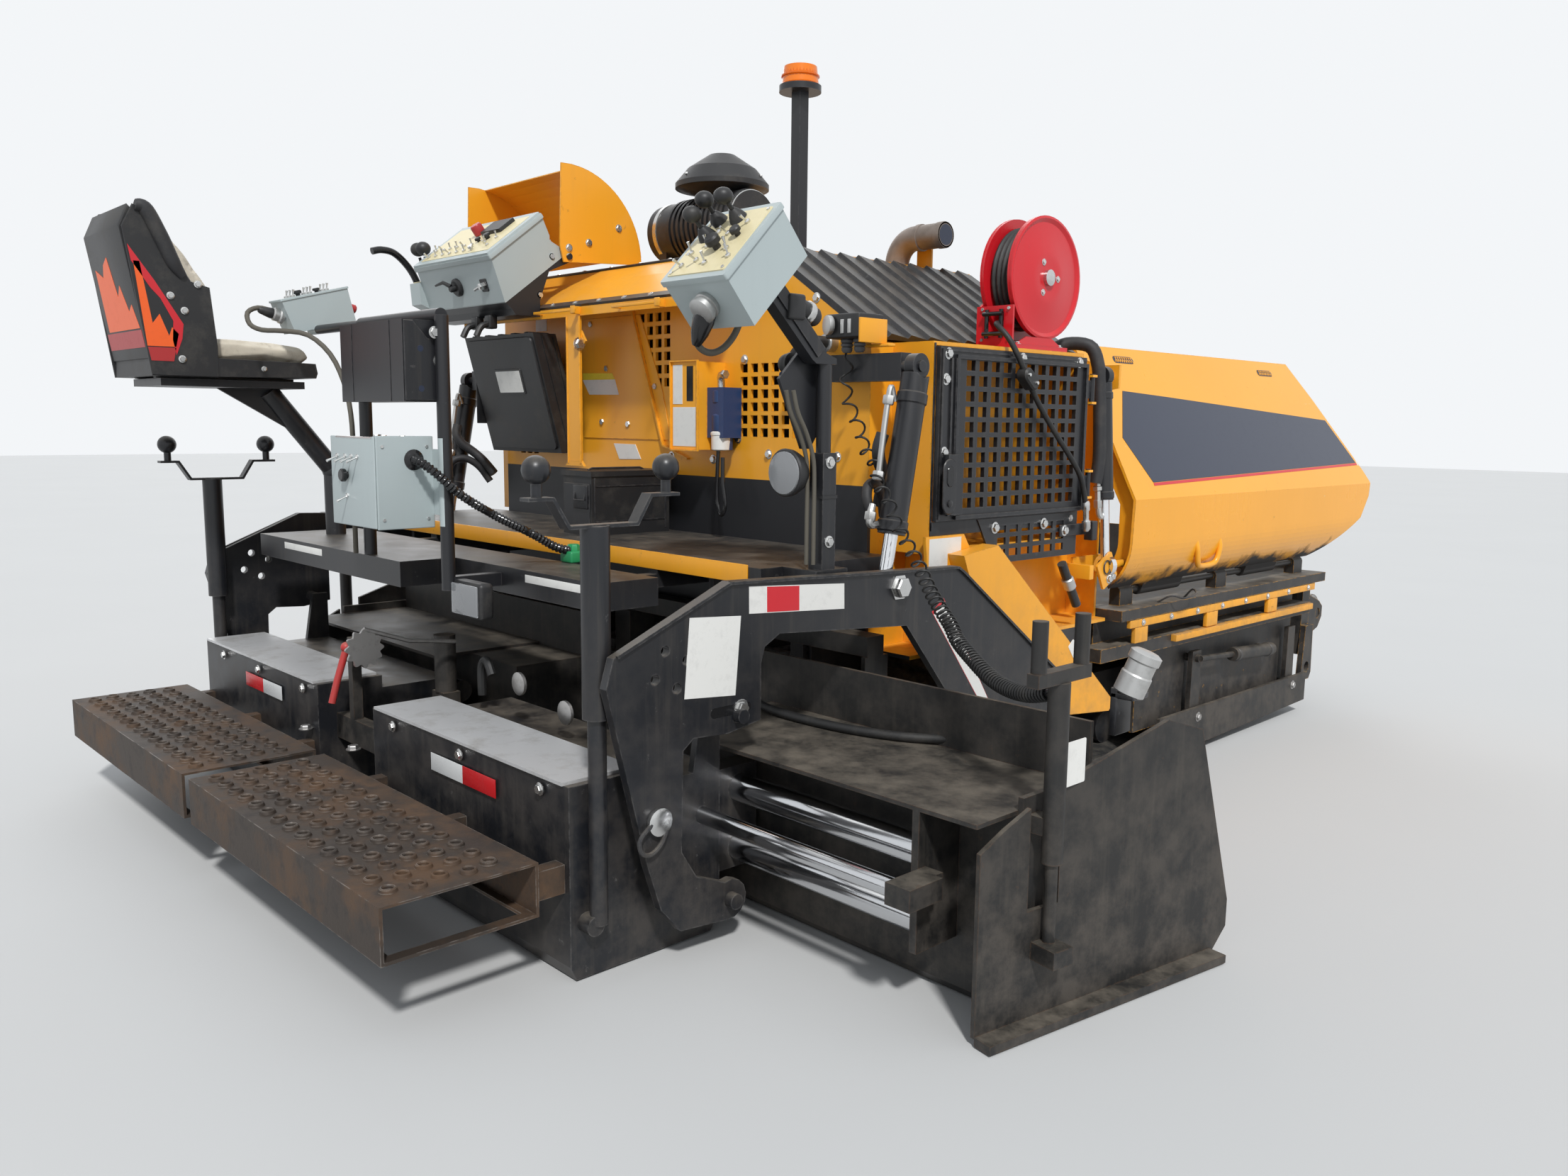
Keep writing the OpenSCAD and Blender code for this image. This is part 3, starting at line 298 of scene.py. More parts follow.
# Colour, roughness, dust, colour of the chips, wear, streaks, dirt near the ground
YELLOW_PAINT = (YELLOW, 0.30, 0.18, RUST, 0.55, 0.10, 0.35)
MIX_PAINT = (MIX, 0.5, 0.3, (0.10, 0.055, 0.03), 0.6, 0.2, 0.45)
CABINET_PAINT = (GREY, 0.42, 0.1, (0.25, 0.27, 0.27), 0.25, 0.05, 0.0)
BOX_PAINT = (BLACK, 0.36, 0.1, BARE, 0.3, 0.05, 0.0)
PAINTS = {
    "yellow_paint": YELLOW_PAINT,
    "body_paint": (YELLOW, 0.30, 0.18, RUST, 0.45, 0.10, 0.35),
    "wing_paint": (YELLOW, 0.27, 0.12, DARK_CHIP, 0.6, 0.06, 0.2),
    "pump_paint": (*YELLOW_PAINT[:-1], 0.0),
    "worn_yellow": (YELLOW, 0.45, 0.5, DARK_CHIP, 1.0, 0.3, 0.5),
    "black_paint": (BLACK, 0.36, 0.28, BARE, 0.45, 0.16, 0.35),
    "tow_paint": ((0.012, 0.013, 0.016), 0.34, 0.3, (0.20, 0.19, 0.18), 0.5, 0.22, 0.3),
    "mix_black": MIX_PAINT,
    "extension_paint": MIX_PAINT,
    "ledge_paint": ((0.016, 0.015, 0.015), 0.5, 0.55, (0.75, 0.36, 0.03), 0.75, 0.2, 0.5),
    "grey_cabinet": CABINET_PAINT,
    "side_console_grey": CABINET_PAINT,
    "main_console_grey": CABINET_PAINT,
    "rail_box_paint": BOX_PAINT,
    "beacon_paint": BOX_PAINT,
    "red_paint": ((0.62, 0.012, 0.02), 0.22, 0.1, (0.05, 0.03, 0.03), 0.3, 0.05, 0.0),
    "worn_red": ((0.50, 0.02, 0.02), 0.4, 0.4, (0.12, 0.07, 0.05), 0.9, 0.3, 0.5),
}

# Finishes that share one layer of dirt: colour, roughness, strength of the dirt
METALS = {
    "bare_steel": ((0.42, 0.41, 0.40), 0.42, 0.6),
    "chrome_rod": ((0.80, 0.81, 0.83), 0.08, 0.12),
    # the lozenges' brighter colour is a painted highlight of the glint on their raised tops
    "lozenge_painted_highlight": ((0.90, 0.90, 0.89), 0.20, 0.1),
    "bright_steel": ((0.62, 0.62, 0.61), 0.25, 0.25),
    "cast_silver": ((0.56, 0.56, 0.55), 0.45, 0.35),
}
LABELS = {
    "cream_panel": ((0.72, 0.63, 0.38), 0.45, 0.25),
    "white_label": ((0.78, 0.77, 0.73), 0.42, 0.35),
    "yellow_label": ((0.85, 0.68, 0.05), 0.42, 0.3),
    "navy_band_and_painted_hole_shade": ((0.016, 0.024, 0.05), 0.28, 0.15),
    "red_line": ((0.62, 0.02, 0.03), 0.3, 0.15),
    "tape_red": ((0.60, 0.015, 0.02), 0.25, 0.3),
    "tape_white": ((0.70, 0.71, 0.70), 0.25, 0.4),
    "emblem_orange": ((0.90, 0.13, 0.02), 0.4, 0.2),
    "emblem_red": ((0.42, 0.03, 0.03), 0.4, 0.3),
    # navy: the wings' real printed band, and also painted shade in holes, slots and the exhaust's bore
    "braid": ((0.10, 0.09, 0.07), 0.7, 0.5),
    "blue_pump": ((0.02, 0.05, 0.14), 0.4, 0.3),
    "green_fitting": ((0.02, 0.28, 0.10), 0.4, 0.1),
    "black_gloss": ((0.010, 0.010, 0.011), 0.18, 0.2),
}


def paint(name, colour, rough, dust, chip, wear, streak, low_dirt):
    """Sheet metal paint: tone drift, dust on what faces up and near the ground, streaks, and chips on edges."""
    s = Shade(name, colour, rough)
    cloud = s.fade(s.noise(1.7, 3), 0.35, 0.75)
    s.over(s.product(cloud, 0.25), tuple(0.78 * c for c in colour), rough + 0.08)
    lines = s.fade(s.noise(5, 5, 0.65, (7, 7, 0.35)), 0.52, 0.78)
    s.over(s.product(lines, streak), tuple(0.35 * c + 0.35 * d for c, d in zip(colour, DUST)), 0.62)
    grime = s.noise(9, 6, 0.7)
    if low_dirt:
        depth = s.fade(s.axis("Z"), 1.0, 0.1)
        s.over(s.product(depth, s.fade(grime, 0.40, 0.62), low_dirt), SOIL, 0.8)
    up = s.fade(s.normal("Z"), 0.3, 0.95)
    s.over(s.product(up, s.fade(grime, 0.30, 0.70), dust), DUST, 0.85)
    edge = s.product(s.edges(), s.fade(s.noise(38, 4, 0.7), 0.42, 0.58))
    spots = s.product(s.fade(s.noise(24, 5, 0.75), 0.66, 0.70), 0.55)
    s.over(s.product(s.most(edge, spots), wear), chip, 0.7)
    s.bump(s.noise(240, 2), 0.06, 0.001)
    s.bump(s.noise(5, 2), 0.05, 0.01)
    FINISH[name] = s.material
    return s


def dirty(name, colour, rough, metal, bump, *layers, **sockets):
    """One colour under layers of dirt: noise, start and end of its fade, strength, colour and roughness of each."""
    s = Shade(name, colour, rough, metal, **sockets)
    for noise, low, high, strength, tone, dull in layers:
        s.over(s.fade(s.noise(*noise), low, high, (0.0, strength)), tone, dull)
    if bump:
        scale, detail, height, distance = bump
        s.bump(s.noise(scale, detail), height, distance)
    FINISH[name] = s.material
    return s


def two_tone(shades):
    """Second colours of the paints whose solids show more than one."""
    s = shades["body_paint"]
    # the rear wall's lower part is painted black, and so is the inner side of the rear part
    rear = s.product(s.below("Y", 1.1935), s.below("Z", 1.13))
    inner = s.product(s.math("GREATER_THAN", s.normal("Y"), 0.5), s.below("Y", 1.615))
    s.over(s.most(rear, inner), BLACK, 0.5)
    s = shades["wing_paint"]
    # hot mix blackens the lip under the bulge, and all of the inner side
    side = s.math("SIGN", s.math("ADD", s.axis("X"), float(SHIFT[0])))
    inward = s.math("LESS_THAN", s.product(side, s.normal("X")), -0.02)
    lip = s.fade(s.math("ADD", s.axis("Z"), s.product(s.noise(7, 5), 0.22)), 0.90, 0.86)
    s.over(s.most(inward, lip), (0.02, 0.018, 0.017), 0.75)
    scrape = s.fade(s.noise(11, 5, 0.7, (3, 0.6, 3)), 0.69, 0.715)
    s.over(s.product(scrape, 0.5), (0.75, 0.66, 0.5), 0.6)
    s = shades["extension_paint"]
    # the extensions' guide tubes and piston rods are chromed: places within a radius of their middles
    near = []
    for y, z, r in ((0.540, 0.205, 0.0386), (0.540, 0.365, 0.0386), (0.400, 0.325, 0.0226)):
        dy = s.math("SUBTRACT", s.axis("Y"), float(y - SHIFT[1]))
        dz = s.math("SUBTRACT", s.axis("Z"), z)
        near.append(s.math("LESS_THAN", s.math("ADD", s.product(dy, dy), s.product(dz, dz)), r * r))
    round_side = s.math("LESS_THAN", s.math("ABSOLUTE", s.normal("X")), 0.5)
    chromed = s.product(round_side, s.most(*near))
    s.over(chromed, (0.62, 0.63, 0.65), 0.14)
    s.tree.links.new(chromed, s.bsdf.inputs["Metallic"])
    # only the boxes of the consoles are grey, what lies below their feet is black
    for name, n, foot in (("side_console_grey", (-0.719, 0.695), (0.441, 1.543)),
                          ("main_console_grey", (-0.602, 0.798), (0.850, 1.743))):
        s = shades[name]
        along = s.math("ADD", s.product(s.axis("Y"), n[0]), s.product(s.axis("Z"), n[1]))
        level = float(n[0] * (foot[0] - SHIFT[1]) + n[1] * foot[1]) - 0.004
        s.over(s.math("LESS_THAN", along, level), BLACK, 0.4)
    s = shades["rail_box_paint"]
    # the small control box and the generator box are grey, the box between them black
    control = s.product(s.below("X", -0.599), s.above("Z", 1.594))
    generator = s.product(s.below("Y", 0.186), s.above("X", -0.032), s.above("Z", 1.008), s.below("Z", 1.262))
    s.over(s.most(control, generator), GREY, 0.42)
    s = shades["beacon_paint"]
    s.over(s.above("Z", 2.421), (0.85, 0.20, 0.01), 0.2)
    s = shades["pump_paint"]
    s.over(s.above("X", 0.403), LABELS["blue_pump"][0], 0.4)


def make_finishes():
    """Every finish of the machine, by name."""
    two_tone({name: paint(name, *values) for name, values in PAINTS.items()})
    dirty("track_rubber", (0.02, 0.02, 0.02), 0.8, 0.0, (60, 5, 0.4, 0.004),
          ((13, 6, 0.7), 0.42, 0.75, 0.7, (0.17, 0.15, 0.12), 0.95))
    s = dirty("rusty_grating", (0.050, 0.038, 0.030), 0.62, 0.35, (90, 5, 0.35, 0.002),
              ((3, 6, 0.7), 0.45, 0.62, 0.8, (0.13, 0.075, 0.042), 0.8),
              ((16, 6, 0.7), 0.52, 0.68, 0.75, (0.035, 0.030, 0.028), 0.7))
    s.over(s.product(s.edges(0.004), s.fade(s.noise(20, 4), 0.45, 0.6)), (0.30, 0.27, 0.24), 0.4)
    dirty("tread_aluminium", (0.66, 0.66, 0.66), 0.40, 0.45, (150, 3, 0.1, 0.001),
          ((11, 6, 0.7), 0.48, 0.72, 0.6, (0.27, 0.25, 0.22), 0.6))
    dirty("exhaust_steel", (0.20, 0.165, 0.14), 0.5, 0.6, (45, 4, 0.15, 0.002),
          ((8, 5), 0.4, 0.7, 0.8, (0.34, 0.29, 0.26), 0.6))
    dirty("engine_grey", (0.12, 0.12, 0.125), 0.6, 0.2, (30, 4, 0.3, 0.004),
          ((9, 5), 0.4, 0.7, 0.8, (0.05, 0.045, 0.04), 0.8))
    for name, (colour, rough, dirt) in METALS.items():
        dirty(name, colour, rough, 0.95, (70, 3, 0.05, 0.001),
              ((14, 5, 0.7), 0.5, 0.75, dirt, (0.10, 0.085, 0.07), 0.6))
    for name, colour, rough, speck in (("black_plastic", (0.016, 0.016, 0.017), 0.48, 110),
                                       ("hose_rubber", (0.013, 0.013, 0.013), 0.55, 60),
                                       ("grip_rubber", (0.02, 0.02, 0.022), 0.62, 90)):
        dirty(name, colour, rough, 0.0, (speck, 3, 0.2, 0.001), ((9, 6, 0.7), 0.5, 0.8, 0.5, (0.10, 0.09, 0.075), 0.8))
    for name, (colour, rough, dirt) in LABELS.items():
        dirty(name, colour, rough, 0.0, (180, 2, 0.05, 0.001),
              ((26, 6, 0.75), 0.52, 0.78, dirt, tuple(0.5 * c + 0.02 for c in colour), 0.7))
    s = dirty("seat_vinyl", (0.66, 0.60, 0.49), 0.55, 0.0, None,
              ((5, 6, 0.65), 0.42, 0.72, 0.6, (0.42, 0.36, 0.27), 0.65),
              ((40, 4, 0.7), 0.56, 0.75, 0.5, (0.30, 0.26, 0.20), 0.7))
    s.bump(s.node("ShaderNodeTexVoronoi", {"Vector": s.place, "Scale": 320.0}).outputs["Distance"], 0.25, 0.0006)
    dirty("amber_lens", (0.95, 0.22, 0.01), 0.12, 0.0, None, ((30, 3), 0.4, 0.7, 0.25, (0.8, 0.12, 0.0), 0.2),
          Transmission_Weight=0.35, IOR=1.45)
    dirty("lamp_glass", (0.80, 0.82, 0.84), 0.06, 0.0, (60, 2, 0.2, 0.001), Transmission_Weight=0.7, IOR=1.45)


NODE_FINISH = {
    "body_paint": "body_shell",
    "yellow_paint": "struts hood radiator_box fuel_tank console_cover",
    "wing_paint": "wing_right wing_left",
    "main_console_grey": "center_console",
    "side_console_grey": "right_console",
    "rail_box_paint": "rail_boxes",
    "pump_paint": "spray_pump",
    "beacon_paint": "beacon_mast",
    "red_paint": "reel_frame reel_drum",
    "track_rubber": "tracks",
    "rusty_grating": "walkboards",
    "tread_aluminium": "screed_covers",
    "chrome_rod": "wing_rod_right wing_rod_left lift_rod_right lift_rod_left",
    "exhaust_steel": "exhaust_pipe",
    "engine_grey": "engine_block",
    "bare_steel": "auger_right auger_left conveyor_slats",
    "black_plastic": "air_cleaner storage_boxes",
    "tow_paint": "tow_arms depth_cranks screed_frame",
    "extension_paint": "extension_right extension_left",
    "mix_black": "end_gate_right end_gate_left auger_frame crown_adjuster skirts",
    "ledge_paint": "hopper_bed front_beam push_roller_right push_roller_left",
}


# Stage and camera

CAMERA = {"azimuth": 46.19, "down": 8.045, "roll": 0.659, "lens": 27.04, "place": (3.150, -3.474, 1.321)}


class PaverStageSettings(bpy.types.PropertyGroup):
    lens: bpy.props.FloatProperty(name="Lens", description="Focal length on a 36 mm sensor", default=CAMERA["lens"],
        min=10)
    azimuth: bpy.props.FloatProperty(name="Azimuth", description="Heading of the view in degrees from +Y towards -X",
        default=CAMERA["azimuth"])
    down: bpy.props.FloatProperty(name="Down", description="Degrees that the camera looks below the horizon",
        default=CAMERA["down"])
    roll: bpy.props.FloatProperty(name="Roll", description="Degrees that the camera leans", default=CAMERA["roll"])
    sun: bpy.props.FloatProperty(name="Key light", description="Strength of the key light", default=2.6, min=0)
    sky: bpy.props.FloatProperty(name="Sky light", description="Strength of the soft light from all round",
        default=0.55, min=0)
    floor: bpy.props.FloatVectorProperty(name="Floor", description="Colour of the floor", subtype="COLOR",
        default=(0.60, 0.60, 0.59))


class PAVER_OT_stage(bpy.types.Operator):
    """Pale floor, soft studio light and the camera at the photograph's angle"""
    bl_idname = "paver.stage"
    bl_label = "Stage and Camera"

    def execute(self, context):
        s = context.scene.paver_stage
        context.scene.view_settings.view_transform = "Standard"
        a, e, r = (math.radians(v) for v in (s.azimuth, s.down, s.roll))
        ahead = np.array([-math.sin(a) * math.cos(e), math.cos(a) * math.cos(e), -math.sin(e)])
        level = np.array([math.cos(a), math.sin(a), 0.0])
        above = np.cross(level, ahead)
        right = math.cos(r) * level + math.sin(r) * above
        up = -math.sin(r) * level + math.cos(r) * above
        lens = bpy.data.cameras.new("camera")
        lens.lens, lens.sensor_width, lens.clip_end = s.lens, 36.0, 200
        camera = bpy.data.objects.new("camera", lens)
        turn = Matrix(np.column_stack([right, up, -ahead]).tolist()).to_4x4()
        camera.matrix_world = Matrix.Translation(CAMERA["place"]) @ turn
        context.scene.collection.objects.link(camera)
        context.scene.camera = camera
        half = 40.0
        floor = bpy.data.meshes.new("floor")
        floor.from_pydata([(-half, -half, 0), (half, -half, 0), (half, half, 0), (-half, half, 0)], [], [(0, 1, 2, 3)])
        shade = Shade("floor", tuple(s.floor), 0.8)
        shade.over(shade.fade(shade.noise(0.6, 3), 0.3, 0.7, (0.0, 0.25)), tuple(0.93 * c for c in s.floor), 0.85)
        floor.materials.append(shade.material)
        ground = bpy.data.objects.new("floor", floor)
        context.scene.collection.objects.link(ground)
        for name, kind, energy, direction, size in (("key", "SUN", s.sun, (-0.62, 0.42, -0.80), 5),
            ("fill", "SUN", 0.5, (0.8, -0.5, -0.5), 40)):
            light = bpy.data.lights.new(name, kind)
            light.energy, light.angle = energy, math.radians(size)
            lamp = bpy.data.objects.new(name, light)
            lamp.matrix_world = Vector(direction).to_track_quat("-Z", "Y").to_matrix().to_4x4()
            context.scene.collection.objects.link(lamp)
        world = bpy.data.worlds.new("studio")
        world.use_nodes = True
        tree = world.node_tree
        tree.nodes.clear()
        out = tree.nodes.new("ShaderNodeOutputWorld")
        mix = tree.nodes.new("ShaderNodeMixShader")
        seen, soft = (tree.nodes.new("ShaderNodeBackground") for _ in range(2))
        seen.inputs[0].default_value = (0.90, 0.92, 0.94, 1)
        soft.inputs[0].default_value = (0.86, 0.92, 1.0, 1)
        soft.inputs[1].default_value = s.sky
        rays = tree.nodes.new("ShaderNodeLightPath")
        any_ray = rays.outputs["Is Camera Ray"]
        for kind in ("Is Glossy Ray", "Is Transmission Ray"):
            most = tree.nodes.new("ShaderNodeMath")
            most.operation = "MAXIMUM"
            tree.links.new(any_ray, most.inputs[0])
            tree.links.new(rays.outputs[kind], most.inputs[1])
            any_ray = most.outputs[0]
        tree.links.new(any_ray, mix.inputs[0])
        tree.links.new(soft.outputs[0], mix.inputs[1])
        tree.links.new(seen.outputs[0], mix.inputs[2])
        tree.links.new(mix.outputs[0], out.inputs[0])
        context.scene.world = world
        return {"FINISHED"}


class PAVER_OT_finishes(bpy.types.Operator):
    """Gives every solid of the machine its finish"""
    bl_idname = "paver.finishes"
    bl_label = "Finishes"

    def execute(self, context):
        make_finishes()
        by_node = {node: finish for finish, nodes in NODE_FINISH.items() for node in nodes.split()}
        for name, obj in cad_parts.items():
            obj.data.materials.clear()
            obj.data.materials.append(FINISH[by_node.get(name, "black_paint")])
        return {"FINISHED"}


def make(name, body, *groups, smooth=35, slot=None):
    """Joins groups of grids into one piece. Each group is a finish and its grids, in machine coordinates."""
    skin = Skin()
    for mark, (_, grids) in enumerate(groups):
        for g in grids:
            skin.grid(g - SHIFT, mark=mark)
    return skin.piece(name, body, [FINISH[finish] for finish, _ in groups], smooth, slot)


def mirrored(grids):
    """The grids and their copies on the machine's other side."""
    return [*grids, *(g * [-1.0, 1.0, 1.0] for g in grids)]


def plate(outline, axis, low, high, bevel=0.0015):
    """A flat outline drawn out along an axis, its two rims drawn in towards its middle by a small bevel."""
    outline = np.asarray(outline, float)
    inward = outline.mean(0) - outline
    drawn = outline + unit(inward) * bevel
    u, v = [i for i in range(3) if i != axis]
    rows = np.zeros((4, len(outline), 3))
    for row, line, height in zip(rows, (drawn, outline, outline, drawn), (low, low + bevel, high - bevel, high)):
        row[:, u], row[:, v], row[:, axis] = line[:, 0], line[:, 1], height
    return rows


def ribbon(line, axis, wide, thick):
    """A flat bar that follows a line in a plane: it is wide along the axis and thick square to the line, mitred."""
    line = np.asarray(line, float)
    ahead = unit(np.diff(line, axis=0))
    ahead = np.concatenate([ahead[:1], ahead, ahead[-1:]])
    square = np.stack([-ahead[:, 1], ahead[:, 0]], -1)
    mitre = unit(square[:-1] + square[1:])
    mitre /= np.maximum((mitre * square[:-1]).sum(-1, keepdims=True), 0.3)
    u, v = [i for i in range(3) if i != axis]
    rows = np.zeros((len(line), 4, 3))
    for k, (depth, along) in enumerate(((0, 0), (1, 0), (1, 1), (0, 1))):
        edge = line + mitre * thick * depth
        rows[:, k, u], rows[:, k, v], rows[:, k, axis] = edge[:, 0], edge[:, 1], wide[along]
    return rows


def rod(points, radius, sides=10, count=None):
    """A round bar along a curve through points, or along straight stretches if no count is given."""
    line = smooth_path(points, count) if count else np.asarray(points, float)
    return tube(line, radius, sides)


def ball(place, radius, sides=16, squash=1.0):
    """Half circle turned about an upright axis: radius times sine and cosine of the polar angle."""
    a = np.linspace(0.02, math.pi - 0.02, sides)
    profile = np.stack([radius * np.sin(a), -radius * squash * np.cos(a)], -1)
    return lathe(profile, place, UP, sides)


def knob(place, axis, r, high):
    """A turned knob: a foot, a waist and a domed head."""
    return lathe([(0.55 * r, 0), (0.55 * r, 0.3 * high), (r, 0.45 * high), (r, 0.85 * high), (0.8 * r, high)], place,
        axis, 16)


def toggle(place, axis, lean, high=0.026):
    """A hexagon nut with a slim lever that leans over and thickens to its tip."""
    place, axis = np.asarray(place, float), unit(axis)
    tip = place + high * unit(axis + 0.35 * np.asarray(lean))
    return [lathe([(0.0075, 0), (0.0075, 0.005), (0.005, 0.007)], place, axis, 6),
            tube(np.array([place, 0.4 * place + 0.6 * tip, tip]), [0.0022, 0.0028, 0.0042], 8)]


def bolts(places, axis, r=0.012, head=0.009, washer=True):
    """Hexagon heads at several places."""
    return [g for place in places for g in bolt(place, axis, r, head, washer)]


def rectangle(u0, v0, u1, v1):
    """Outline of a rectangle, from its corners."""
    return [(u0, v0), (u1, v0), (u1, v1), (u0, v1)]


def oval(width, height, n=6):
    """Outline of a slot with round ends."""
    return rounded_rect(width, height, min(width, height) / 2.001, n)


def turned(outline, angle, middle):
    """A flat outline turned by an angle in degrees and moved to a middle."""
    a = math.radians(angle)
    return np.asarray(outline) @ np.array([[math.cos(a), math.sin(a)], [-math.sin(a), math.cos(a)]]) + middle


def flexible(name, body, points, thick, finish="hose_rubber",
             count=40, sides=12):
    """A hose or cable: a circle of its own thickness carried along a smooth curve through points."""
    path = smooth_path(points, count) - SHIFT
    piece = Skin().grid(tube(path, thick / 2, sides)).piece(name, body, FINISH[finish], slot="track_rubber")
    return piece


def spiral(points, radius, pitches, per_turn=14):
    """A helix about a smooth line. Its angle grows by a full turn for each pitch of the line's length."""
    line = smooth_path(points, 200)
    step = np.linalg.norm(np.diff(line, axis=0), axis=1)
    s = np.concatenate([[0], np.cumsum(step)])
    pitch = np.interp(s / s[-1], *zip(*pitches))
    turns = np.concatenate([[0], np.cumsum(step / (0.5 * (pitch[1:] + pitch[:-1])))])
    t = np.linspace(0, turns[-1], int(turns[-1] * per_turn))
    where = np.interp(t, turns, s)
    centre = np.stack([np.interp(where, s, line[:, k]) for k in range(3)], -1)
    along = unit(np.gradient(centre, axis=0))
    flat = np.linalg.svd(line - line.mean(0))[2][2]
    side = unit(np.cross(along, flat))
    up = np.cross(side, along)
    grow = np.clip(np.minimum(t, t[-1] - t) * 2, 0, 1)[:, None] * radius
    out = np.cos(TURN * t)[:, None] * side + np.sin(TURN * t)[:, None] * up
    return centre + grow * out, out


# Hoses and cords

class PaverTrimSettings(bpy.types.PropertyGroup):
    hose: bpy.props.FloatProperty(name="Hose", description="Outside diameter of the wash down hose", default=0.018,
        min=0.01, max=0.03, unit="LENGTH")
    cord: bpy.props.FloatProperty(name="Sensor cord", description="Thickness of the spiral sensor cord", default=0.0065,
        min=0.004, max=0.01, unit="LENGTH")
    coil: bpy.props.FloatProperty(name="Coil", description="Radius of the spiral cord's turns", default=0.0175,
        min=0.012, max=0.03, unit="LENGTH")
    bolt: bpy.props.FloatProperty(name="Bolts", description="Half width of the common bolt heads", default=0.012,
        min=0.006, max=0.02, unit="LENGTH")
    label: bpy.props.FloatProperty(name="Labels", description="Thickness of the blank labels", default=0.0012,
        min=0.0005, max=0.003, unit="LENGTH")
    lozenge: bpy.props.FloatProperty(name="Lozenges", description="Length of a lozenge on the tread sheets",
        default=0.030, min=0.02, max=0.05, unit="LENGTH")
    grip: bpy.props.FloatProperty(name="Board grips", description="Outside radius of a raised hole in the walk boards",
        default=0.0215, min=0.015, max=0.03, unit="LENGTH")


class PAVER_OT_hoses(bpy.types.Operator):
    """Wash down hose, spiral sensor cord, console cables, conduit and hydraulic hoses"""
    bl_idname = "paver.hoses"
    bl_label = "Hoses and Cords"

    def execute(self, context):
        s = context.scene.paver_trim
        # wash down hose, out of the reel's window, over the box's edge and down across the grille door
        end = np.array([1.262, 2.062, 1.045])
        nozzle = make("wash_hose_nozzle", "chassis",
            ("bright_steel", [lathe([(0.011, -0.02), (0.0135, -0.012), (0.0135, 0.01), (0.010, 0.016), (0.010, 0.045),
                        (0.015, 0.05), (0.015, 0.075), (0.008, 0.085)], end, (0.0, 0.10, -0.99), 16)]),
            slot="bare_steel")
        stop = make("wash_hose_stop", "chassis",
            ("black_plastic", [plate(turned(oval(0.085, 0.044), -38, (1.690, 1.462)), 0, 1.242, 1.284, 0.006)]),
            ("bright_steel", bolts([(1.284, 1.669, 1.474), (1.284, 1.711, 1.450)], RIGHT, 0.006, 0.005, False)),
            slot="black_plastic")
        flexible("wash_hose", "chassis", [(1.150, 1.790, 1.640), (1.148, 1.720, 1.640), (1.156, 1.665, 1.637),
                (1.190, 1.625, 1.625), (1.232, 1.625, 1.585), (1.256, 1.650, 1.525), (1.262, 1.690, 1.462),
                (1.262, 1.758, 1.385), (1.262, 1.860, 1.292), (1.262, 1.955, 1.212), (1.262, 2.025, 1.140), end],
            s.hose, count=40)
        # spiral sensor cord from its socket, over the tow arm to the end gate's crank
        line = [(1.030, 1.112, 1.532), (1.032, 1.108, 1.400), (1.104, 1.088, 1.302), (1.146, 1.066, 1.246),
            (1.213, 1.038, 1.202), (1.250, 1.012, 1.149), (1.306, 0.992, 1.107), (1.345, 0.982, 1.049),
            (1.388, 0.972, 1.005), (1.440, 0.955, 0.961), (1.490, 0.930, 0.921), (1.540, 0.905, 0.882),
            (1.585, 0.885, 0.851), (1.632, 0.868, 0.818), (1.670, 0.850, 0.786), (1.745, 0.814, 0.756),
            (1.827, 0.775, 0.730), (1.904, 0.739, 0.722), (1.985, 0.700, 0.730), (2.062, 0.668, 0.752)]
        path, out = spiral(line, s.coil, [(0, 0.075), (0.30, 0.052), (0.50, 0.042), (0.60, 0.022), (0.66, 0.0118),
                (1, 0.0118)])
        path = path - SHIFT
        a = np.linspace(0, TURN, 6, endpoint=False)
        along = unit(np.gradient(path, axis=0))
        side = unit(out - (out * along).sum(-1, keepdims=True) * along)
        ring = np.cos(a)[None, :, None] * side[:, None] + np.sin(a)[None, :, None] * np.cross(side, along)[:, None]
        piece = Skin().grid(path[:, None] + s.cord / 2 * ring).piece("sensor_cord", "chassis", FINISH["hose_rubber"],
            slot="track_rubber")
        plug = make("sensor_cord_plug", "chassis",
            ("black_gloss", [lathe([(0.012, 0), (0.014, 0.005), (0.014, 0.03), (0.008, 0.045), (0.004, 0.05)],
                        (2.082, 0.660, 0.757), (-0.92, 0.36, -0.24), 14)]), slot="black_plastic")
        # two braided cables from the side console down the post
        for k, (dx, dy) in enumerate(((0.0, 0.0), (0.014, 0.012))):
            flexible(f"console_cable_{k + 1}", "chassis", [(1.246 + dx, 0.655 + dy, 1.400), (1.246 + dx, 0.672 + dy,
                        1.345), (1.246 + dx, 0.705 + dy, 1.290), (1.244 + dx, 0.733 + dy, 1.225),
                    (1.244 + dx, 0.738 + dy, 1.150), (1.244 + dx, 0.738 + dy, 1.050), (1.244 + dx, 0.738 + dy, 0.945)],
                0.012, finish="braid", count=30)
        # lead of the side console's big plug, looped back under its box
        ring, down = np.array([1.250, 0.394, 1.598]), unit((-0.44, -0.02, -0.90))
        big_plug = make("console_plug", "side_console",
            ("cast_silver", [lathe([(0.030, -0.002), (0.034, 0.004), (0.034, 0.012), (0.030, 0.014), (0.030, 0.020),
                        (0.034, 0.022), (0.034, 0.034), (0.026, 0.038)], ring, (0, -0.761, -0.648), 24)]),
            ("black_gloss", [lathe([(0.026, 0.024), (0.027, 0.045), (0.022, 0.078), (0.014, 0.100), (0.010, 0.108)],
                        ring, down, 18)]), slot="black_plastic")
        flexible("console_lead", "side_console", [(1.215, 0.530, 1.605), (1.212, 0.527, 1.570), (1.206, 0.512, 1.532),
                (1.200, 0.486, 1.502), (1.196, 0.454, 1.487), (1.194, 0.424, 1.490), (1.196, 0.402, 1.506),
                (1.201, 0.393, 1.530)], 0.017, finish="braid", count=30)
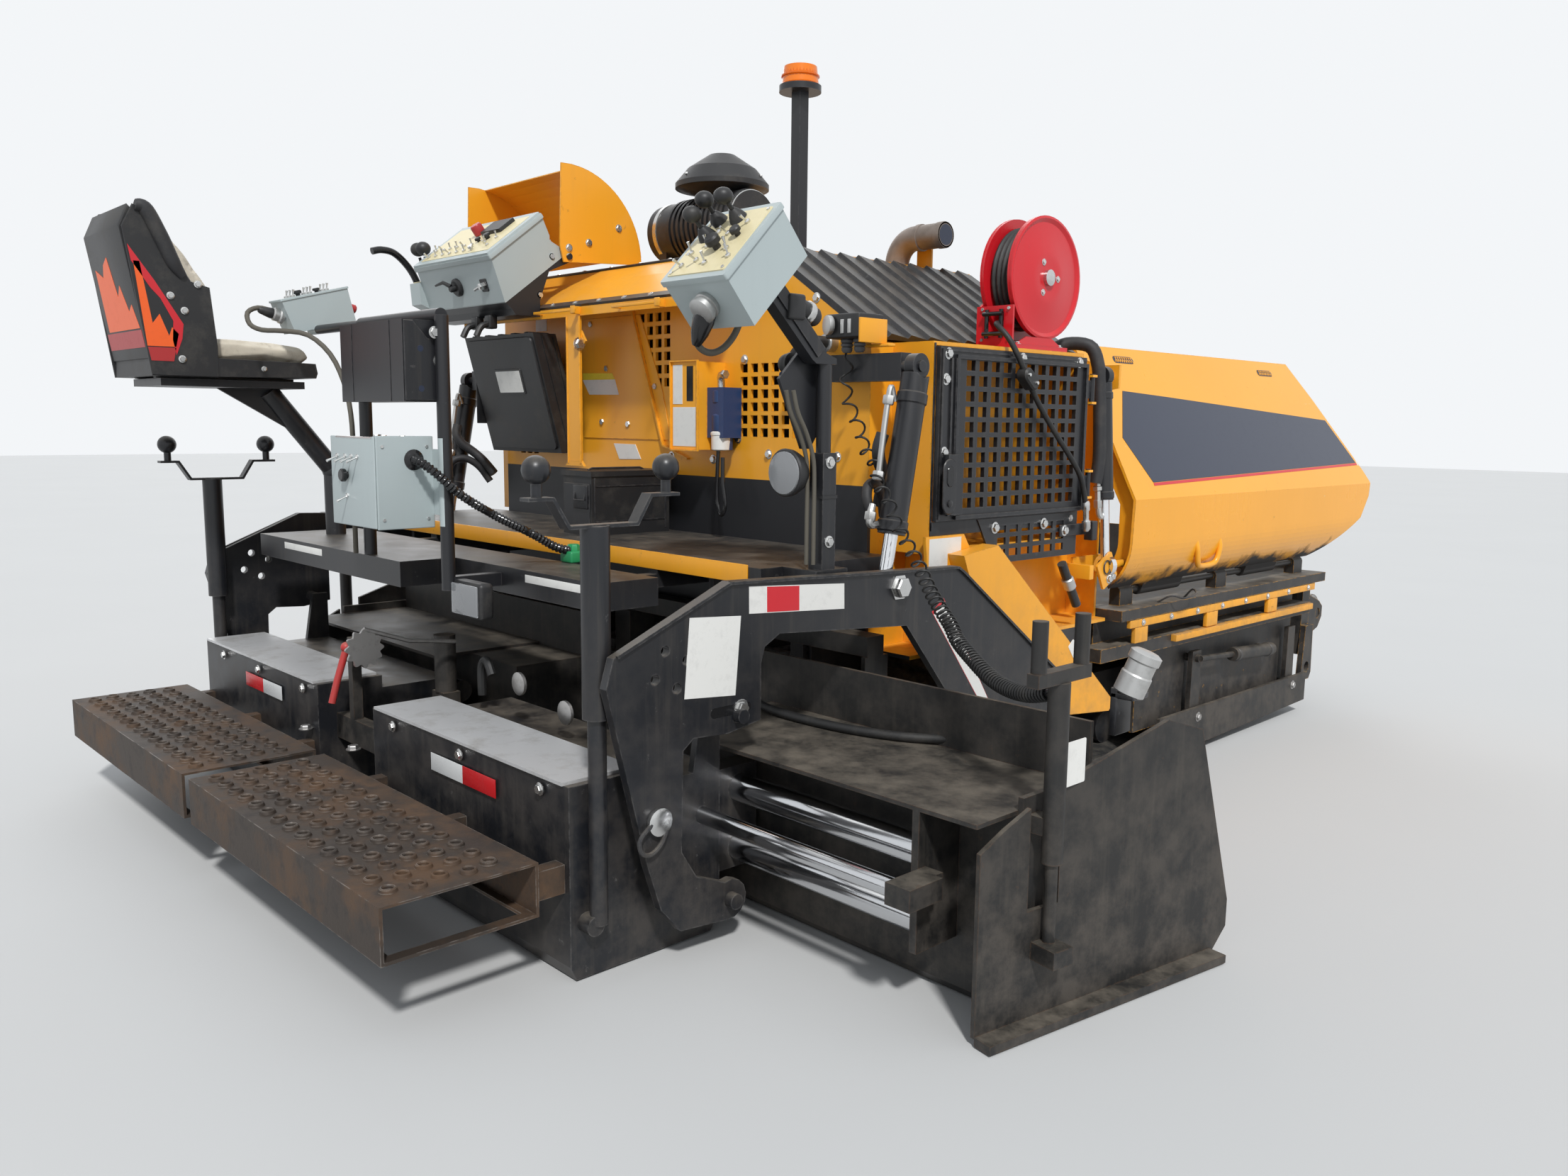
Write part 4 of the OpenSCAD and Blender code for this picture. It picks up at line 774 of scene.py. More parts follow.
        # lead of the small control box beside the seat
        flexible("pendant_lead", "chassis", [(-0.650, 0.088, 1.669), (-0.650, 0.040, 1.675), (-0.644, 0.004, 1.656),
                (-0.618, 0.000, 1.618), (-0.570, 0.020, 1.598), (-0.500, 0.060, 1.594), (-0.420, 0.110, 1.580),
                (-0.350, 0.150, 1.520), (-0.300, 0.170, 1.430), (-0.262, 0.172, 1.330), (-0.236, 0.164, 1.220),
                (-0.232, 0.158, 1.100), (-0.232, 0.158, 0.990), (-0.232, 0.158, 0.885)], 0.016, finish="braid",
            count=40)
        # corrugated conduit from the generator box to the green fitting on the deck
        conduit = [(0.274, 0.121, 1.200), (0.300, 0.124, 1.194), (0.335, 0.150, 1.165), (0.352, 0.220, 1.100),
            (0.352, 0.330, 1.035), (0.356, 0.450, 0.975), (0.366, 0.560, 0.938), (0.378, 0.650, 0.948),
            (0.385, 0.702, 0.985)]
        path = smooth_path([*conduit[:-3], (0.362, 0.530, 0.930), (0.366, 0.590, 0.915)], 160) - SHIFT
        step = np.concatenate([[0], np.cumsum(np.linalg.norm(np.diff(path, axis=0), axis=1))])
        ridged = 0.0125 + 0.0022 * np.cos(TURN * step / 0.0125)
        piece = Skin().grid(tube(path, ridged, 10)).piece("generator_conduit", "chassis", FINISH["black_gloss"],
            slot="black_plastic")
        for side, word in SIDES:
            turn = np.array([side, 1, 1])
            # sleeved hoses to the wing cylinder and behind the lift cylinder
            flexible(f"wing_hose_{word}", "chassis", turn * [(1.070, 2.098, 1.574), (1.110, 2.138, 1.600),
                    (1.180, 2.172, 1.590), (1.206, 2.185, 1.530), (1.212, 2.192, 1.450), (1.220, 2.192, 1.330),
                    (1.226, 2.190, 1.200), (1.222, 2.180, 1.120)], 0.046, finish="grip_rubber", count=30)
            flexible(f"lift_hose_high_{word}", "chassis", turn * [(1.218, 1.062, 1.290), (1.212, 1.052, 1.250),
                    (1.200, 1.070, 1.212), (1.180, 1.110, 1.178), (1.150, 1.142, 1.140), (1.112, 1.172, 1.085)], 0.038,
                finish="grip_rubber", count=24)
            flexible(f"lift_hose_low_{word}", "chassis", turn * [(1.216, 1.020, 1.066), (1.208, 1.012, 1.108),
                    (1.196, 1.030, 1.142), (1.180, 1.076, 1.148), (1.160, 1.126, 1.115), (1.136, 1.166, 1.050)], 0.030,
                finish="grip_rubber", count=24)
        fitting = make("extension_hose_fitting", "extension_right",
            ("cast_silver", [lathe([(0.014, 0), (0.020, 0.003), (0.020, 0.020), (0.016, 0.024), (0.016, 0.040),
                        (0.021, 0.043), (0.021, 0.058), (0.014, 0.062)], (1.652, 0.923, 0.518), (0.92, 0.25, 0.15),
                        6)]), slot="bare_steel")
        flexible("extension_hose", "extension_right", [(0.985, 0.800, 0.512), (1.050, 0.792, 0.506),
                (1.180, 0.790, 0.503), (1.340, 0.806, 0.503), (1.480, 0.850, 0.503), (1.580, 0.905, 0.506),
                (1.660, 0.925, 0.520)], 0.026, count=30)
        return {"FINISHED"}


# Operator's place: seat, consoles and rail

def on_face(low, high):
    """A frame on a tilted face that rises from low to high in Y and Z: its origin, its slope and its outward side."""
    low, high = np.asarray(low, float), np.asarray(high, float)
    rise = unit([0, *(high - low)])
    return np.array([0, *low]), rise, np.cross((1, 0, 0), rise)


def face_slab(face, x, span, thick, r=0.004, n=3):
    """A rounded plate that lies on a tilted face between two places along X and two along its slope."""
    origin, rise, out = face
    flat = rounded_rect(x[1] - x[0], span[1] - span[0], r, n) + [(x[0] + x[1]) / 2, (span[0] + span[1]) / 2]
    drawn = flat + unit(flat.mean(0) - flat) * min(0.0015, 0.3 * thick)
    level = lambda line, h: origin + line[:, :1] * (1, 0, 0) + line[:, 1:] * rise + h * out
    return np.array([level(flat, -0.001), level(flat, thick * 0.7), level(drawn, thick)])


def face_point(face, x, along, up=0.0):
    """A place on a tilted face."""
    origin, rise, out = face
    return origin + np.array([x, 0, 0]) + along * rise + up * out


def swollen(obj, pressure, cap, voxel=0.006):
    """Fills a pad with cloth under pressure, with a cap on each point's travel, and leaves it as a mesh."""
    remesh = obj.modifiers.new("even", "REMESH")
    remesh.mode, remesh.voxel_size = "VOXEL", voxel
    graph = bpy.context.evaluated_depsgraph_get()
    mesh = bpy.data.meshes.new_from_object(obj.evaluated_get(graph))
    obj.modifiers.clear()
    finishes = list(obj.data.materials)
    obj.data = mesh
    mesh.materials.clear()
    for finish in finishes:
        mesh.materials.append(finish)
    start = np.empty(len(mesh.vertices) * 3)
    mesh.vertices.foreach_get("co", start)
    cloth = obj.modifiers.new("fill", "CLOTH")
    cloth.settings.use_pressure = True
    cloth.settings.uniform_pressure_force = pressure
    cloth.settings.effector_weights.gravity = 0
    cloth.settings.tension_stiffness = 25
    cloth.settings.quality = 5
    scene = bpy.context.scene
    for step in range(1, 21):
        scene.frame_set(step)
    graph = bpy.context.evaluated_depsgraph_get()
    filled = np.empty(len(mesh.vertices) * 3)
    obj.evaluated_get(graph).data.vertices.foreach_get("co", filled)
    move = (filled - start).reshape(-1, 3)
    far = np.linalg.norm(move, axis=1, keepdims=True)
    move *= np.minimum(1, cap / np.maximum(far, 1e-9))
    obj.modifiers.clear()
    mesh.vertices.foreach_set("co", start + move.ravel())
    scene.frame_set(1)
    mesh.polygons.foreach_set("use_smooth", [True] * len(mesh.polygons))
    soft = obj.modifiers.new("smooth", "SUBSURF")
    soft.levels = soft.render_levels = 1
    mesh.update()


def pad_form(widths, outline, corner=0.05, rows=9):
    """A crowned pad: an outline in Y and Z, narrowed by a quarter round towards both ends of its width."""
    outline = np.asarray(outline, float)
    middle = outline.mean(0)
    a = np.linspace(-1, 1, rows)
    x = (widths[0] + widths[1]) / 2 + (widths[1] - widths[0]) / 2 * np.sin(a * math.pi / 2)
    inset = corner * (1 - np.cos(a * math.pi / 2 * 0.93))
    p = np.zeros((rows, len(outline), 3))
    p[..., 0] = x[:, None]
    p[..., 1:] = outline + unit(middle - outline) * inset[:, None, None]
    return p


class PAVER_OT_seat(bpy.types.Operator):
    """Seat with a padded cushion and back, black shell, bolster, pan and slide rails"""
    bl_idname = "paver.seat"
    bl_label = "Seat"

    def execute(self, context):
        x0, x1 = -1.155, -0.725
        cushion = pad_form((x0 + 0.035, x1 - 0.035), [(-0.105, 1.508), (0.10, 1.508), (0.250, 1.506), (0.276, 1.520),
                (0.262, 1.546), (0.15, 1.562), (0, 1.566), (-0.105, 1.565)], 0.025, 11)
        pad = Skin().grid(cushion - SHIFT).piece("seat_cushion", "seat", FINISH["seat_vinyl"], slot="seat_vinyl")
        swollen(pad, 4.0, 0.012)
        back = pad_form((x0 + 0.045, x1 - 0.045), [(-0.062, 1.580), (-0.048, 1.61), (-0.070, 1.74), (-0.140, 1.85),
                (-0.232, 1.950), (-0.275, 1.945), (-0.278, 1.90), (-0.215, 1.80), (-0.160, 1.70), (-0.130, 1.565)],
            0.035, 11)
        rest = Skin().grid(back - SHIFT).piece("seat_back", "seat", FINISH["seat_vinyl"], slot="seat_vinyl")
        swollen(rest, 4.0, 0.012)
        shell = [(-0.275, 1.500), (-0.232, 1.500), (-0.232, 1.560), (-0.275, 1.80), (-0.292, 1.955), (-0.312, 1.975),
            (-0.342, 1.905)]
        wing = [(-0.272, 1.445), (-0.068, 1.445), (-0.066, 1.545), (-0.082, 1.735), (-0.138, 1.750), (-0.200, 1.850),
            (-0.268, 1.960), (-0.300, 1.975), (-0.335, 1.905)]
        panel = [plate(shell, 0, x0 + 0.012, x1 - 0.012, 0.006)]
        sides = [plate(wing, 0, x, x + 0.010, 0.003) for x in (x0 + 0.002, x1 - 0.012)]
        pan = [plate([(-0.270, 1.445), (0.262, 1.452), (0.268, 1.470), (0.262, 1.503), (-0.10, 1.510), (-0.270, 1.505)],
                0, x0 + 0.004, x1 - 0.004, 0.010)]
        rails = [block((x, -0.235, 1.4405), (x + 0.028, 0.215, 1.449), 0.002) for x in (-1.06, -0.85)]
        bar = [rod([(x, -0.292, 1.972), (x, -0.262, 1.962), (x, -0.222, 1.880), (x, -0.190, 1.805), (x, -0.162, 1.762)],
                [0.020, 0.025, 0.026, 0.024, 0.015], 14, 5) for x in (x0 + 0.005, x1 - 0.005)]
        bar = [tube(smooth_path(b.mean(1), 24), np.interp(np.linspace(0, 4, 24), range(5), (0.019, 0.0245, 0.0255,
                        0.0235, 0.014)), 14) for b in bar]
        stub = [rod([(-1.135, -0.075, 1.690), (-1.135, -0.045, 1.688), (-1.135, -0.010, 1.676), (-1.135, 0.008, 1.660)],
                0.020, 12, 14)]
        fixings = [*bolts([(x1, -0.120, 1.742), (x1, -0.205, 1.700), (x1, -0.165, 1.655), (x1, -0.180, 1.500)], RIGHT,
                0.009, 0.006), *bolts([(x1 - 0.004, 0.08, 1.478)], RIGHT, 0.007, 0.005)]
        fixings += bolts([(x0, -0.120, 1.742), (x0, -0.205, 1.700)], LEFT, 0.009, 0.006)
        obj = make("seat_shell", "seat", ("black_plastic", [*panel, *sides, *pan, *rails]),
            ("grip_rubber", [*bar, *stub]), ("bright_steel", fixings), slot="seat_vinyl")
        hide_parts("seat")
        # worn patches of colour on the back's rear and on its sides
        rear_low, rear_high = np.array((-0.275, 1.500)), np.array((-0.342, 1.905))
        face = on_face(rear_low, rear_high)
        face = (face[0], face[1], -face[2])
        flat = lambda shape: np.array([[face_point(face, u, v, h) for u, v in shape] for h in (-0.001, 0.0012)])
        strip = rectangle(-1.13, 0.035, -0.75, 0.09)
        blaze = [(-1.10, 0.095), (-0.76, 0.095), (-0.79, 0.17), (-0.83, 0.15), (-0.87, 0.235), (-0.91, 0.20),
            (-0.94, 0.33), (-0.99, 0.31), (-1.02, 0.27), (-1.09, 0.30)]
        side = lambda shape: np.array([[(x, y, z) for y, z in shape] for x in (x1 - 0.003, x1 - 0.0008)])
        lower = [(-0.272, 1.492), (-0.205, 1.492), (-0.196, 1.535), (-0.280, 1.535)]
        orange = [(-0.281, 1.538), (-0.196, 1.538), (-0.186, 1.580), (-0.205, 1.600), (-0.215, 1.572), (-0.240, 1.640),
            (-0.262, 1.610), (-0.290, 1.800), (-0.308, 1.800)]
        red = [(-0.196, 1.512), (-0.176, 1.565), (-0.170, 1.612), (-0.250, 1.745), (-0.322, 1.850), (-0.314, 1.800),
            (-0.262, 1.720), (-0.235, 1.690), (-0.200, 1.620), (-0.205, 1.560)]
        make("seat_patches", "seat", ("emblem_red", [flat(strip), side(lower)]),
            ("emblem_orange", [flat(blaze), side(orange)]), ("red_line", [side(red)]), smooth=0, slot="seat_vinyl")
        return {"FINISHED"}


class PAVER_OT_main_console(bpy.types.Operator):
    """Main console's lid, cream panels, switches, knobs, sticks, latches and handlebar"""
    bl_idname = "paver.main_console"
    bl_label = "Main Console"

    def execute(self, context):
        top = on_face((0.798, 1.893), (1.015, 2.062))
        front = on_face((0.850, 1.743), (0.798, 1.893))
        lean = top[1]
        lid = [face_slab(top, (-1.026, -0.444), (-0.008, 0.280), 0.016, 0.006), face_slab(top, (-1.022, -0.448),
                (-0.004, 0.276), 0.024, 0.005)]
        cream = [face_slab(top, (-0.992, -0.478), (0.022, 0.250), 0.0255, 0.006)]
        up = 0.0255
        spots = [(-0.955 + 0.055 * i, 0.045 + 0.042 * j) for i in range(6) for j in range(2)] + [(-0.53, 0.06),
            (-0.53, 0.11), (-0.58, 0.085)]
        switches = [g for k, (x, v) in enumerate(spots) for g in toggle(face_point(top, x, v, up), top[2],
                lean * (1 if k % 3 else -1))]
        silver = [*switches, knob(face_point(top, -0.62, 0.045, up), top[2], 0.011, 0.018)]
        red_knob = [lathe([(0.020, 0), (0.023, 0.004), (0.023, 0.034), (0.019, 0.040)], face_point(top, -0.735, 0.175,
                    up), top[2], 18)]
        display = [face_slab((top[0] + up * top[2], top[1], top[2]), (-0.70, -0.56), (0.155, 0.235), 0.014, 0.004),
            knob(face_point(top, -0.605, 0.120, up), top[2], 0.016, 0.020), knob(face_point(top, -0.655, 0.108, up),
                top[2], 0.012, 0.016)]
        sticks = [g for x in (-1.075, -1.032)
            for g in (tube(np.array([(x, 0.870, 1.850), (x, 0.850, 1.915), (x, 0.838, 1.955)]), 0.006, 10),
                ball((x, 0.832, 1.985), 0.030, 14, 0.9), lathe([(0.024, 0), (0.018, 0.012), (0.011, 0.026)],
                    (x, 0.882, 1.838), (0, -0.24, 0.97), 14))]
        small = on_face((0.805, 1.850), (0.960, 1.890))
        small_panel = [face_slab(small, (-1.095, -1.024), (0.012, 0.140), 0.003, 0.004)]
        latch = [lathe([(0.034, 0), (0.034, 0.010), (0.027, 0.016)], face_point(front, -0.745, 0.075), front[2], 20),
            lathe([(0.012, 0.014), (0.012, 0.034), (0.009, 0.038)], face_point(front, -0.745, 0.075), front[2], 14),
            rod([face_point(front, -0.745, 0.085, 0.030), face_point(front, -0.775, 0.105, 0.040),
                    face_point(front, -0.835, 0.098, 0.042)], [0.009, 0.007, 0.004], 10),
            face_slab(front, (-0.575, -0.530), (0.045, 0.092), 0.004, 0.004)]
        catch = [lathe([(0.014, 0), (0.014, 0.022), (0.009, 0.026)], face_point(front, -0.552, 0.068), front[2], 6),
            rod([face_point(front, -0.558, 0.068, 0.020), face_point(front, -0.590, 0.060, 0.024)], 0.006, 8)]
        handle = [rod([(-1.120, 0.870, 1.800), (-1.120, 0.838, 1.878), (-1.120, 0.800, 1.930), (-1.120, 0.750, 1.968),
                    (-1.120, 0.700, 1.975), (-1.120, 0.660, 1.966)], 0.014, 12, 26)]
        under = [g for x in (-0.70, -0.60) for g in (block((x - 0.020, 0.860, 1.655), (x + 0.020, 0.895, 1.705), 0.006),
                rod([(x, 0.862, 1.672), (x, 0.835, 1.660), (x, 0.815, 1.625)], 0.012, 10, 8))]
        label = [face_slab(front, (-1.085, -1.035), (-0.02, 0.045), 0.001, 0.002)]
        hinge = bolts([(-0.452, 1.000, 1.780), (-0.452, 1.055, 1.925)], RIGHT, 0.010, 0.008)
        make("main_console_dress", "chassis", ("grey_cabinet", lid), ("cream_panel", [*cream, *small_panel]),
            ("bright_steel", [*silver, *catch, *hinge]), ("emblem_red", red_knob),
            ("black_plastic", [*display, *sticks, *latch, *under]), ("black_gloss", handle), ("white_label", label),
            slot="grey_cabinet")
        make("console_cover_bolts", "cover", ("bright_steel", bolts([(-0.434, 1.210, 1.990), (-0.434, 1.120, 1.962),
                        (-0.434, 1.350, 2.060)], RIGHT, 0.011, 0.008)), slot="bare_steel")
        return {"FINISHED"}


class PAVER_OT_side_console(bpy.types.Operator):
    """Side console's lid, cream panel, switches, sticks, big plug and tilt plate trim"""
    bl_idname = "paver.side_console"
    bl_label = "Side Console"

    def execute(self, context):
        top = on_face((0.355, 1.644), (0.526, 1.821))
        lid = [face_slab(top, (1.125, 1.365), (-0.006, 0.252), 0.014, 0.006)]
        cream = [face_slab(top, (1.140, 1.350), (0.012, 0.236), 0.0165, 0.005)]
        up = 0.0165
        spots = [(1.172, 0.045), (1.172, 0.090), (1.215, 0.060), (1.215, 0.110), (1.215, 0.160), (1.258, 0.045),
            (1.258, 0.150), (1.300, 0.090), (1.300, 0.185), (1.330, 0.060)]
        silver = [g for k, (x, v) in enumerate(spots) for g in toggle(face_point(top, x, v, up), top[2],
                top[1] * (1 if k % 2 else -1), 0.030)]
        silver += [g for x, v in ((1.150, 0.022), (1.340, 0.022), (1.150, 0.226), (1.340, 0.226))
            for g in bolt(face_point(top, x, v, up), top[2], 0.005, 0.003, False)]
        grips = [knob(face_point(top, 1.258, 0.100, up), top[2], 0.019, 0.034), knob(face_point(top, 1.300, 0.140, up),
                top[2], 0.014, 0.022)]
        for x, v in ((1.180, 0.150), (1.180, 0.205), (1.250, 0.205)):
            foot = face_point(top, x, v, up)
            grips += [lathe([(0.024, 0), (0.019, 0.014), (0.009, 0.030)], foot, top[2], 14),
                tube(np.array([foot, foot + 0.055 * top[2]]), 0.006, 8), ball(foot + 0.068 * top[2], 0.024, 14, 0.85)]
        seam = bolts([(1.131, 0.470, 1.700), (1.131, 0.560, 1.740)], LEFT, 0.006, 0.003, False)
        arm_lines = [ribbon([(0.560, 1.665), (0.742, 1.486)], 0, (1.2715, 1.2745), 0.036),
            ribbon([(0.570, 1.677), (0.574, 1.673)], 0, (1.222, 1.278), 0.05)]
        pin = [lathe([(0.017, 0), (0.030, 0.004), (0.030, 0.012)], (1.1905, 0.735, 1.472), LEFT, 20),
            ball((1.168, 0.735, 1.472), 0.027, 16, 1.0)]
        # flat dark discs where the arm's holes are: painted shade
        holes = [lathe([(0.009, -0.0005), (0.009, 0.0006)], (1.215, y, z), LEFT, 14) for y,
            z in ((0.760, 1.505), (0.808, 1.505), (0.668, 1.440), (0.775, 1.300))]
        pivot = bolts([(1.215, 0.802, 1.372)], LEFT, 0.016, 0.010)
        connector = [block((1.218, 0.632, 1.575), (1.282, 0.690, 1.640), 0.008),
            lathe([(0.026, 0), (0.026, 0.06), (0.020, 0.07)], (1.250, 0.690, 1.610), (0, 0.9, -0.35), 18)]
        collar = [lathe([(0.029, 0.0), (0.031, 0.004), (0.031, 0.016), (0.029, 0.02)], (1.250, 0.712, 1.602),
                (0, 0.9, -0.35), 18)]
        make("side_console_dress", "side_console", ("grey_cabinet", lid), ("cream_panel", cream),
            ("bright_steel", [*silver, *seam, *collar]), ("black_plastic", [*grips, *pin, *pivot, *connector]),
            ("black_paint", [*arm_lines]), ("navy_band_and_painted_hole_shade", holes), slot="grey_cabinet")
        tie = [ribbon(np.array([(1.224, 0.764), (1.276, 0.764), (1.276, 0.816), (1.224, 0.816), (1.2239, 0.7645)]), 2,
                (1.120, 1.128), -0.002)]
        make("side_mast_trim", "chassis", ("black_plastic", tie),
            ("bright_steel", bolts([(1.276, 0.790, 1.215), (1.276, 0.790, 1.005)], RIGHT, 0.012, 0.009)),
            slot="black_paint")
        return {"FINISHED"}


class PAVER_OT_rail(bpy.types.Operator):
    """Trim of the rail's generator box, black box, small control box and ball knobs"""
    bl_idname = "paver.rail"
    bl_label = "Rail Boxes"

    def execute(self, context):
        y = 0.0095
        sheet = lambda outline, depth: plate(outline, 1, y - depth, y + 0.001, 0.0004)
        box = lambda a, b, depth=0.0015: sheet([(a[0], a[1]), (b[0], a[1]), (b[0], b[1]), (a[0], b[1])], depth)
        cream = [box((-0.012, 1.062), (0.205, 1.235))]
        black = [box((-0.012, 1.236), (0.205, 1.262 - 0.004), 0.002), box((-0.006, 1.150), (0.038, 1.162), 0.0025),
            box((-0.006, 1.098), (0.032, 1.110), 0.0025)]
        header = [box((0.150, 1.160), (0.200, 1.172), 0.0025)]
        white = [box((-0.006, 1.120), (0.038, 1.148), 0.0024), box((-0.006, 1.070), (0.038, 1.096), 0.0024),
            box((0.150, 1.110), (0.200, 1.158), 0.0024), box((0.150, 1.068), (0.200, 1.106), 0.0024)]
        out = np.array([0, -1.0, 0])
        silver = [g for x, z in ((0.012, 1.207), (0.066, 1.207), (0.108, 1.207), (0.148, 1.207), (0.072, 1.092))
            for g in toggle((x, y - 0.001, z), out, (0.3, 0, -1.2), 0.040)]
        knobs = [knob((0.076, y - 0.001, 1.152), out, 0.019, 0.024)]
        flange = [block((-0.034, 0.006, 1.005), (0.254, 0.012, 1.265), 0.003, 1), block((0.248, 0.012, 1.002),
                (0.256, 0.186, 1.268), 0.003, 0)]
        hinge = [rod([(0.006, 0.008, 1.262), (0.244, 0.008, 1.262)], 0.0035, 8),
            *bolts([(0.12, 0.10, 1.261), (0.20, 0.12, 1.261), (0.03, 0.12, 1.261)], UP, 0.009, 0.007),
            *bolts([(0.256, 0.165, 1.238), (0.256, 0.165, 1.030), (0.256, 0.030, 1.238), (0.256, 0.030, 1.030)], RIGHT,
                0.005, 0.003, False)]
        grommet = [lathe([(0.030, 0), (0.030, 0.006), (0.022, 0.010), (0.016, 0.014)], (0.252, 0.125, 1.200), RIGHT,
                20)]
        make("generator_box_trim", "chassis", ("grey_cabinet", flange), ("cream_panel", cream),
            ("black_gloss", [*black, *knobs, *grommet]), ("red_line", header), ("white_label", white),
            ("bright_steel", [*silver, *hinge]), slot="grey_cabinet")
        wires = [rod([(0.262, 0.118 + d, 1.203), (0.275, 0.119 + d, 1.202), (0.292, 0.122 + d, 1.196)], 0.0028, 6, 6)
            for d in (0.0, 0.006)]
        fitting = [block((0.335, 0.560, 0.880), (0.398, 0.622, 0.916), 0.006),
            lathe([(0.021, 0), (0.021, 0.016), (0.017, 0.022)], (0.366, 0.590, 0.914), UP, 8)]
        make("conduit_fitting", "chassis", ("green_fitting", [*fitting, wires[0]]), ("white_label", [wires[1]]),
            slot="black_plastic")
        # black box: side bracket with two holes, bolted to the hoop
        bracket = [plate([(0.092, 1.592), (0.120, 1.592), (0.165, 1.543), (0.222, 1.543), (0.222, 1.368),
                    (0.092, 1.368)], 0, 0.2795, 0.2865, 0.002)]
        # flat dark discs in the bracket's two holes: painted shade
        painted_shade = [lathe([(0.009, 0), (0.009, 0.0006)], (0.2866, yy, z), RIGHT, 14) for yy,
            z in ((0.140, 1.514), (0.140, 1.402))]
        seams = [plate([(x, 1.366), (x + 0.0015, 1.366), (x + 0.0015, 1.594), (x, 1.594)], 1, 0.0885, 0.0905, 0.0003)
            for x in (-0.05, 0.20)]
        make("black_box_trim", "chassis", ("black_paint", [*bracket, *seams]), ("navy_band_and_painted_hole_shade", painted_shade),
            ("bright_steel", bolts([(0.2865, 0.197, 1.482), (0.300, 0.178, 1.560)], RIGHT, 0.013, 0.009)),
            slot="black_paint")
        # small control box: switches on its lid, connector and boot behind, knob at the far end
        lid = on_face((0.100, 1.698), (0.326, 1.759))
        toggles = [g for x in (-0.678, -0.650, -0.622) for v in (0.05, 0.11, 0.17)
            for g in toggle(face_point(lid, x, v, 0.006), lid[2], lid[1], 0.024)]
        cap = [face_slab(lid, (-0.703, -0.597), (-0.004, 0.238), 0.006, 0.004)]
        pod = [knob(face_point(lid, -0.650, 0.080, 0.006), lid[2], 0.014, 0.018),
            knob(face_point(lid, -0.636, 0.140, 0.006), lid[2], 0.012, 0.014)]
        socket = [lathe([(0.026, 0), (0.026, 0.010), (0.022, 0.014), (0.022, 0.030), (0.017, 0.034)],
                (-0.650, 0.120, 1.652), (0, -0.97, 0.22), 18)]
        boot = [lathe([(0.017, 0.030), (0.018, 0.040), (0.012, 0.074), (0.009, 0.080)], (-0.650, 0.120, 1.652),
                (0, -0.97, 0.22), 14)]
        tip = [lathe([(0.015, 0), (0.016, 0.004), (0.016, 0.030), (0.013, 0.034)], (-0.650, 0.340, 1.700),
                (0, 0.97, -0.22), 16)]
        make("control_box_trim", "chassis", ("grey_cabinet", cap), ("bright_steel", toggles),
            ("black_plastic", [*pod, *boot]), ("cast_silver", socket), ("emblem_red", tip), slot="grey_cabinet")
        return {"FINISHED"}


# Body, radiator box, reel and hopper

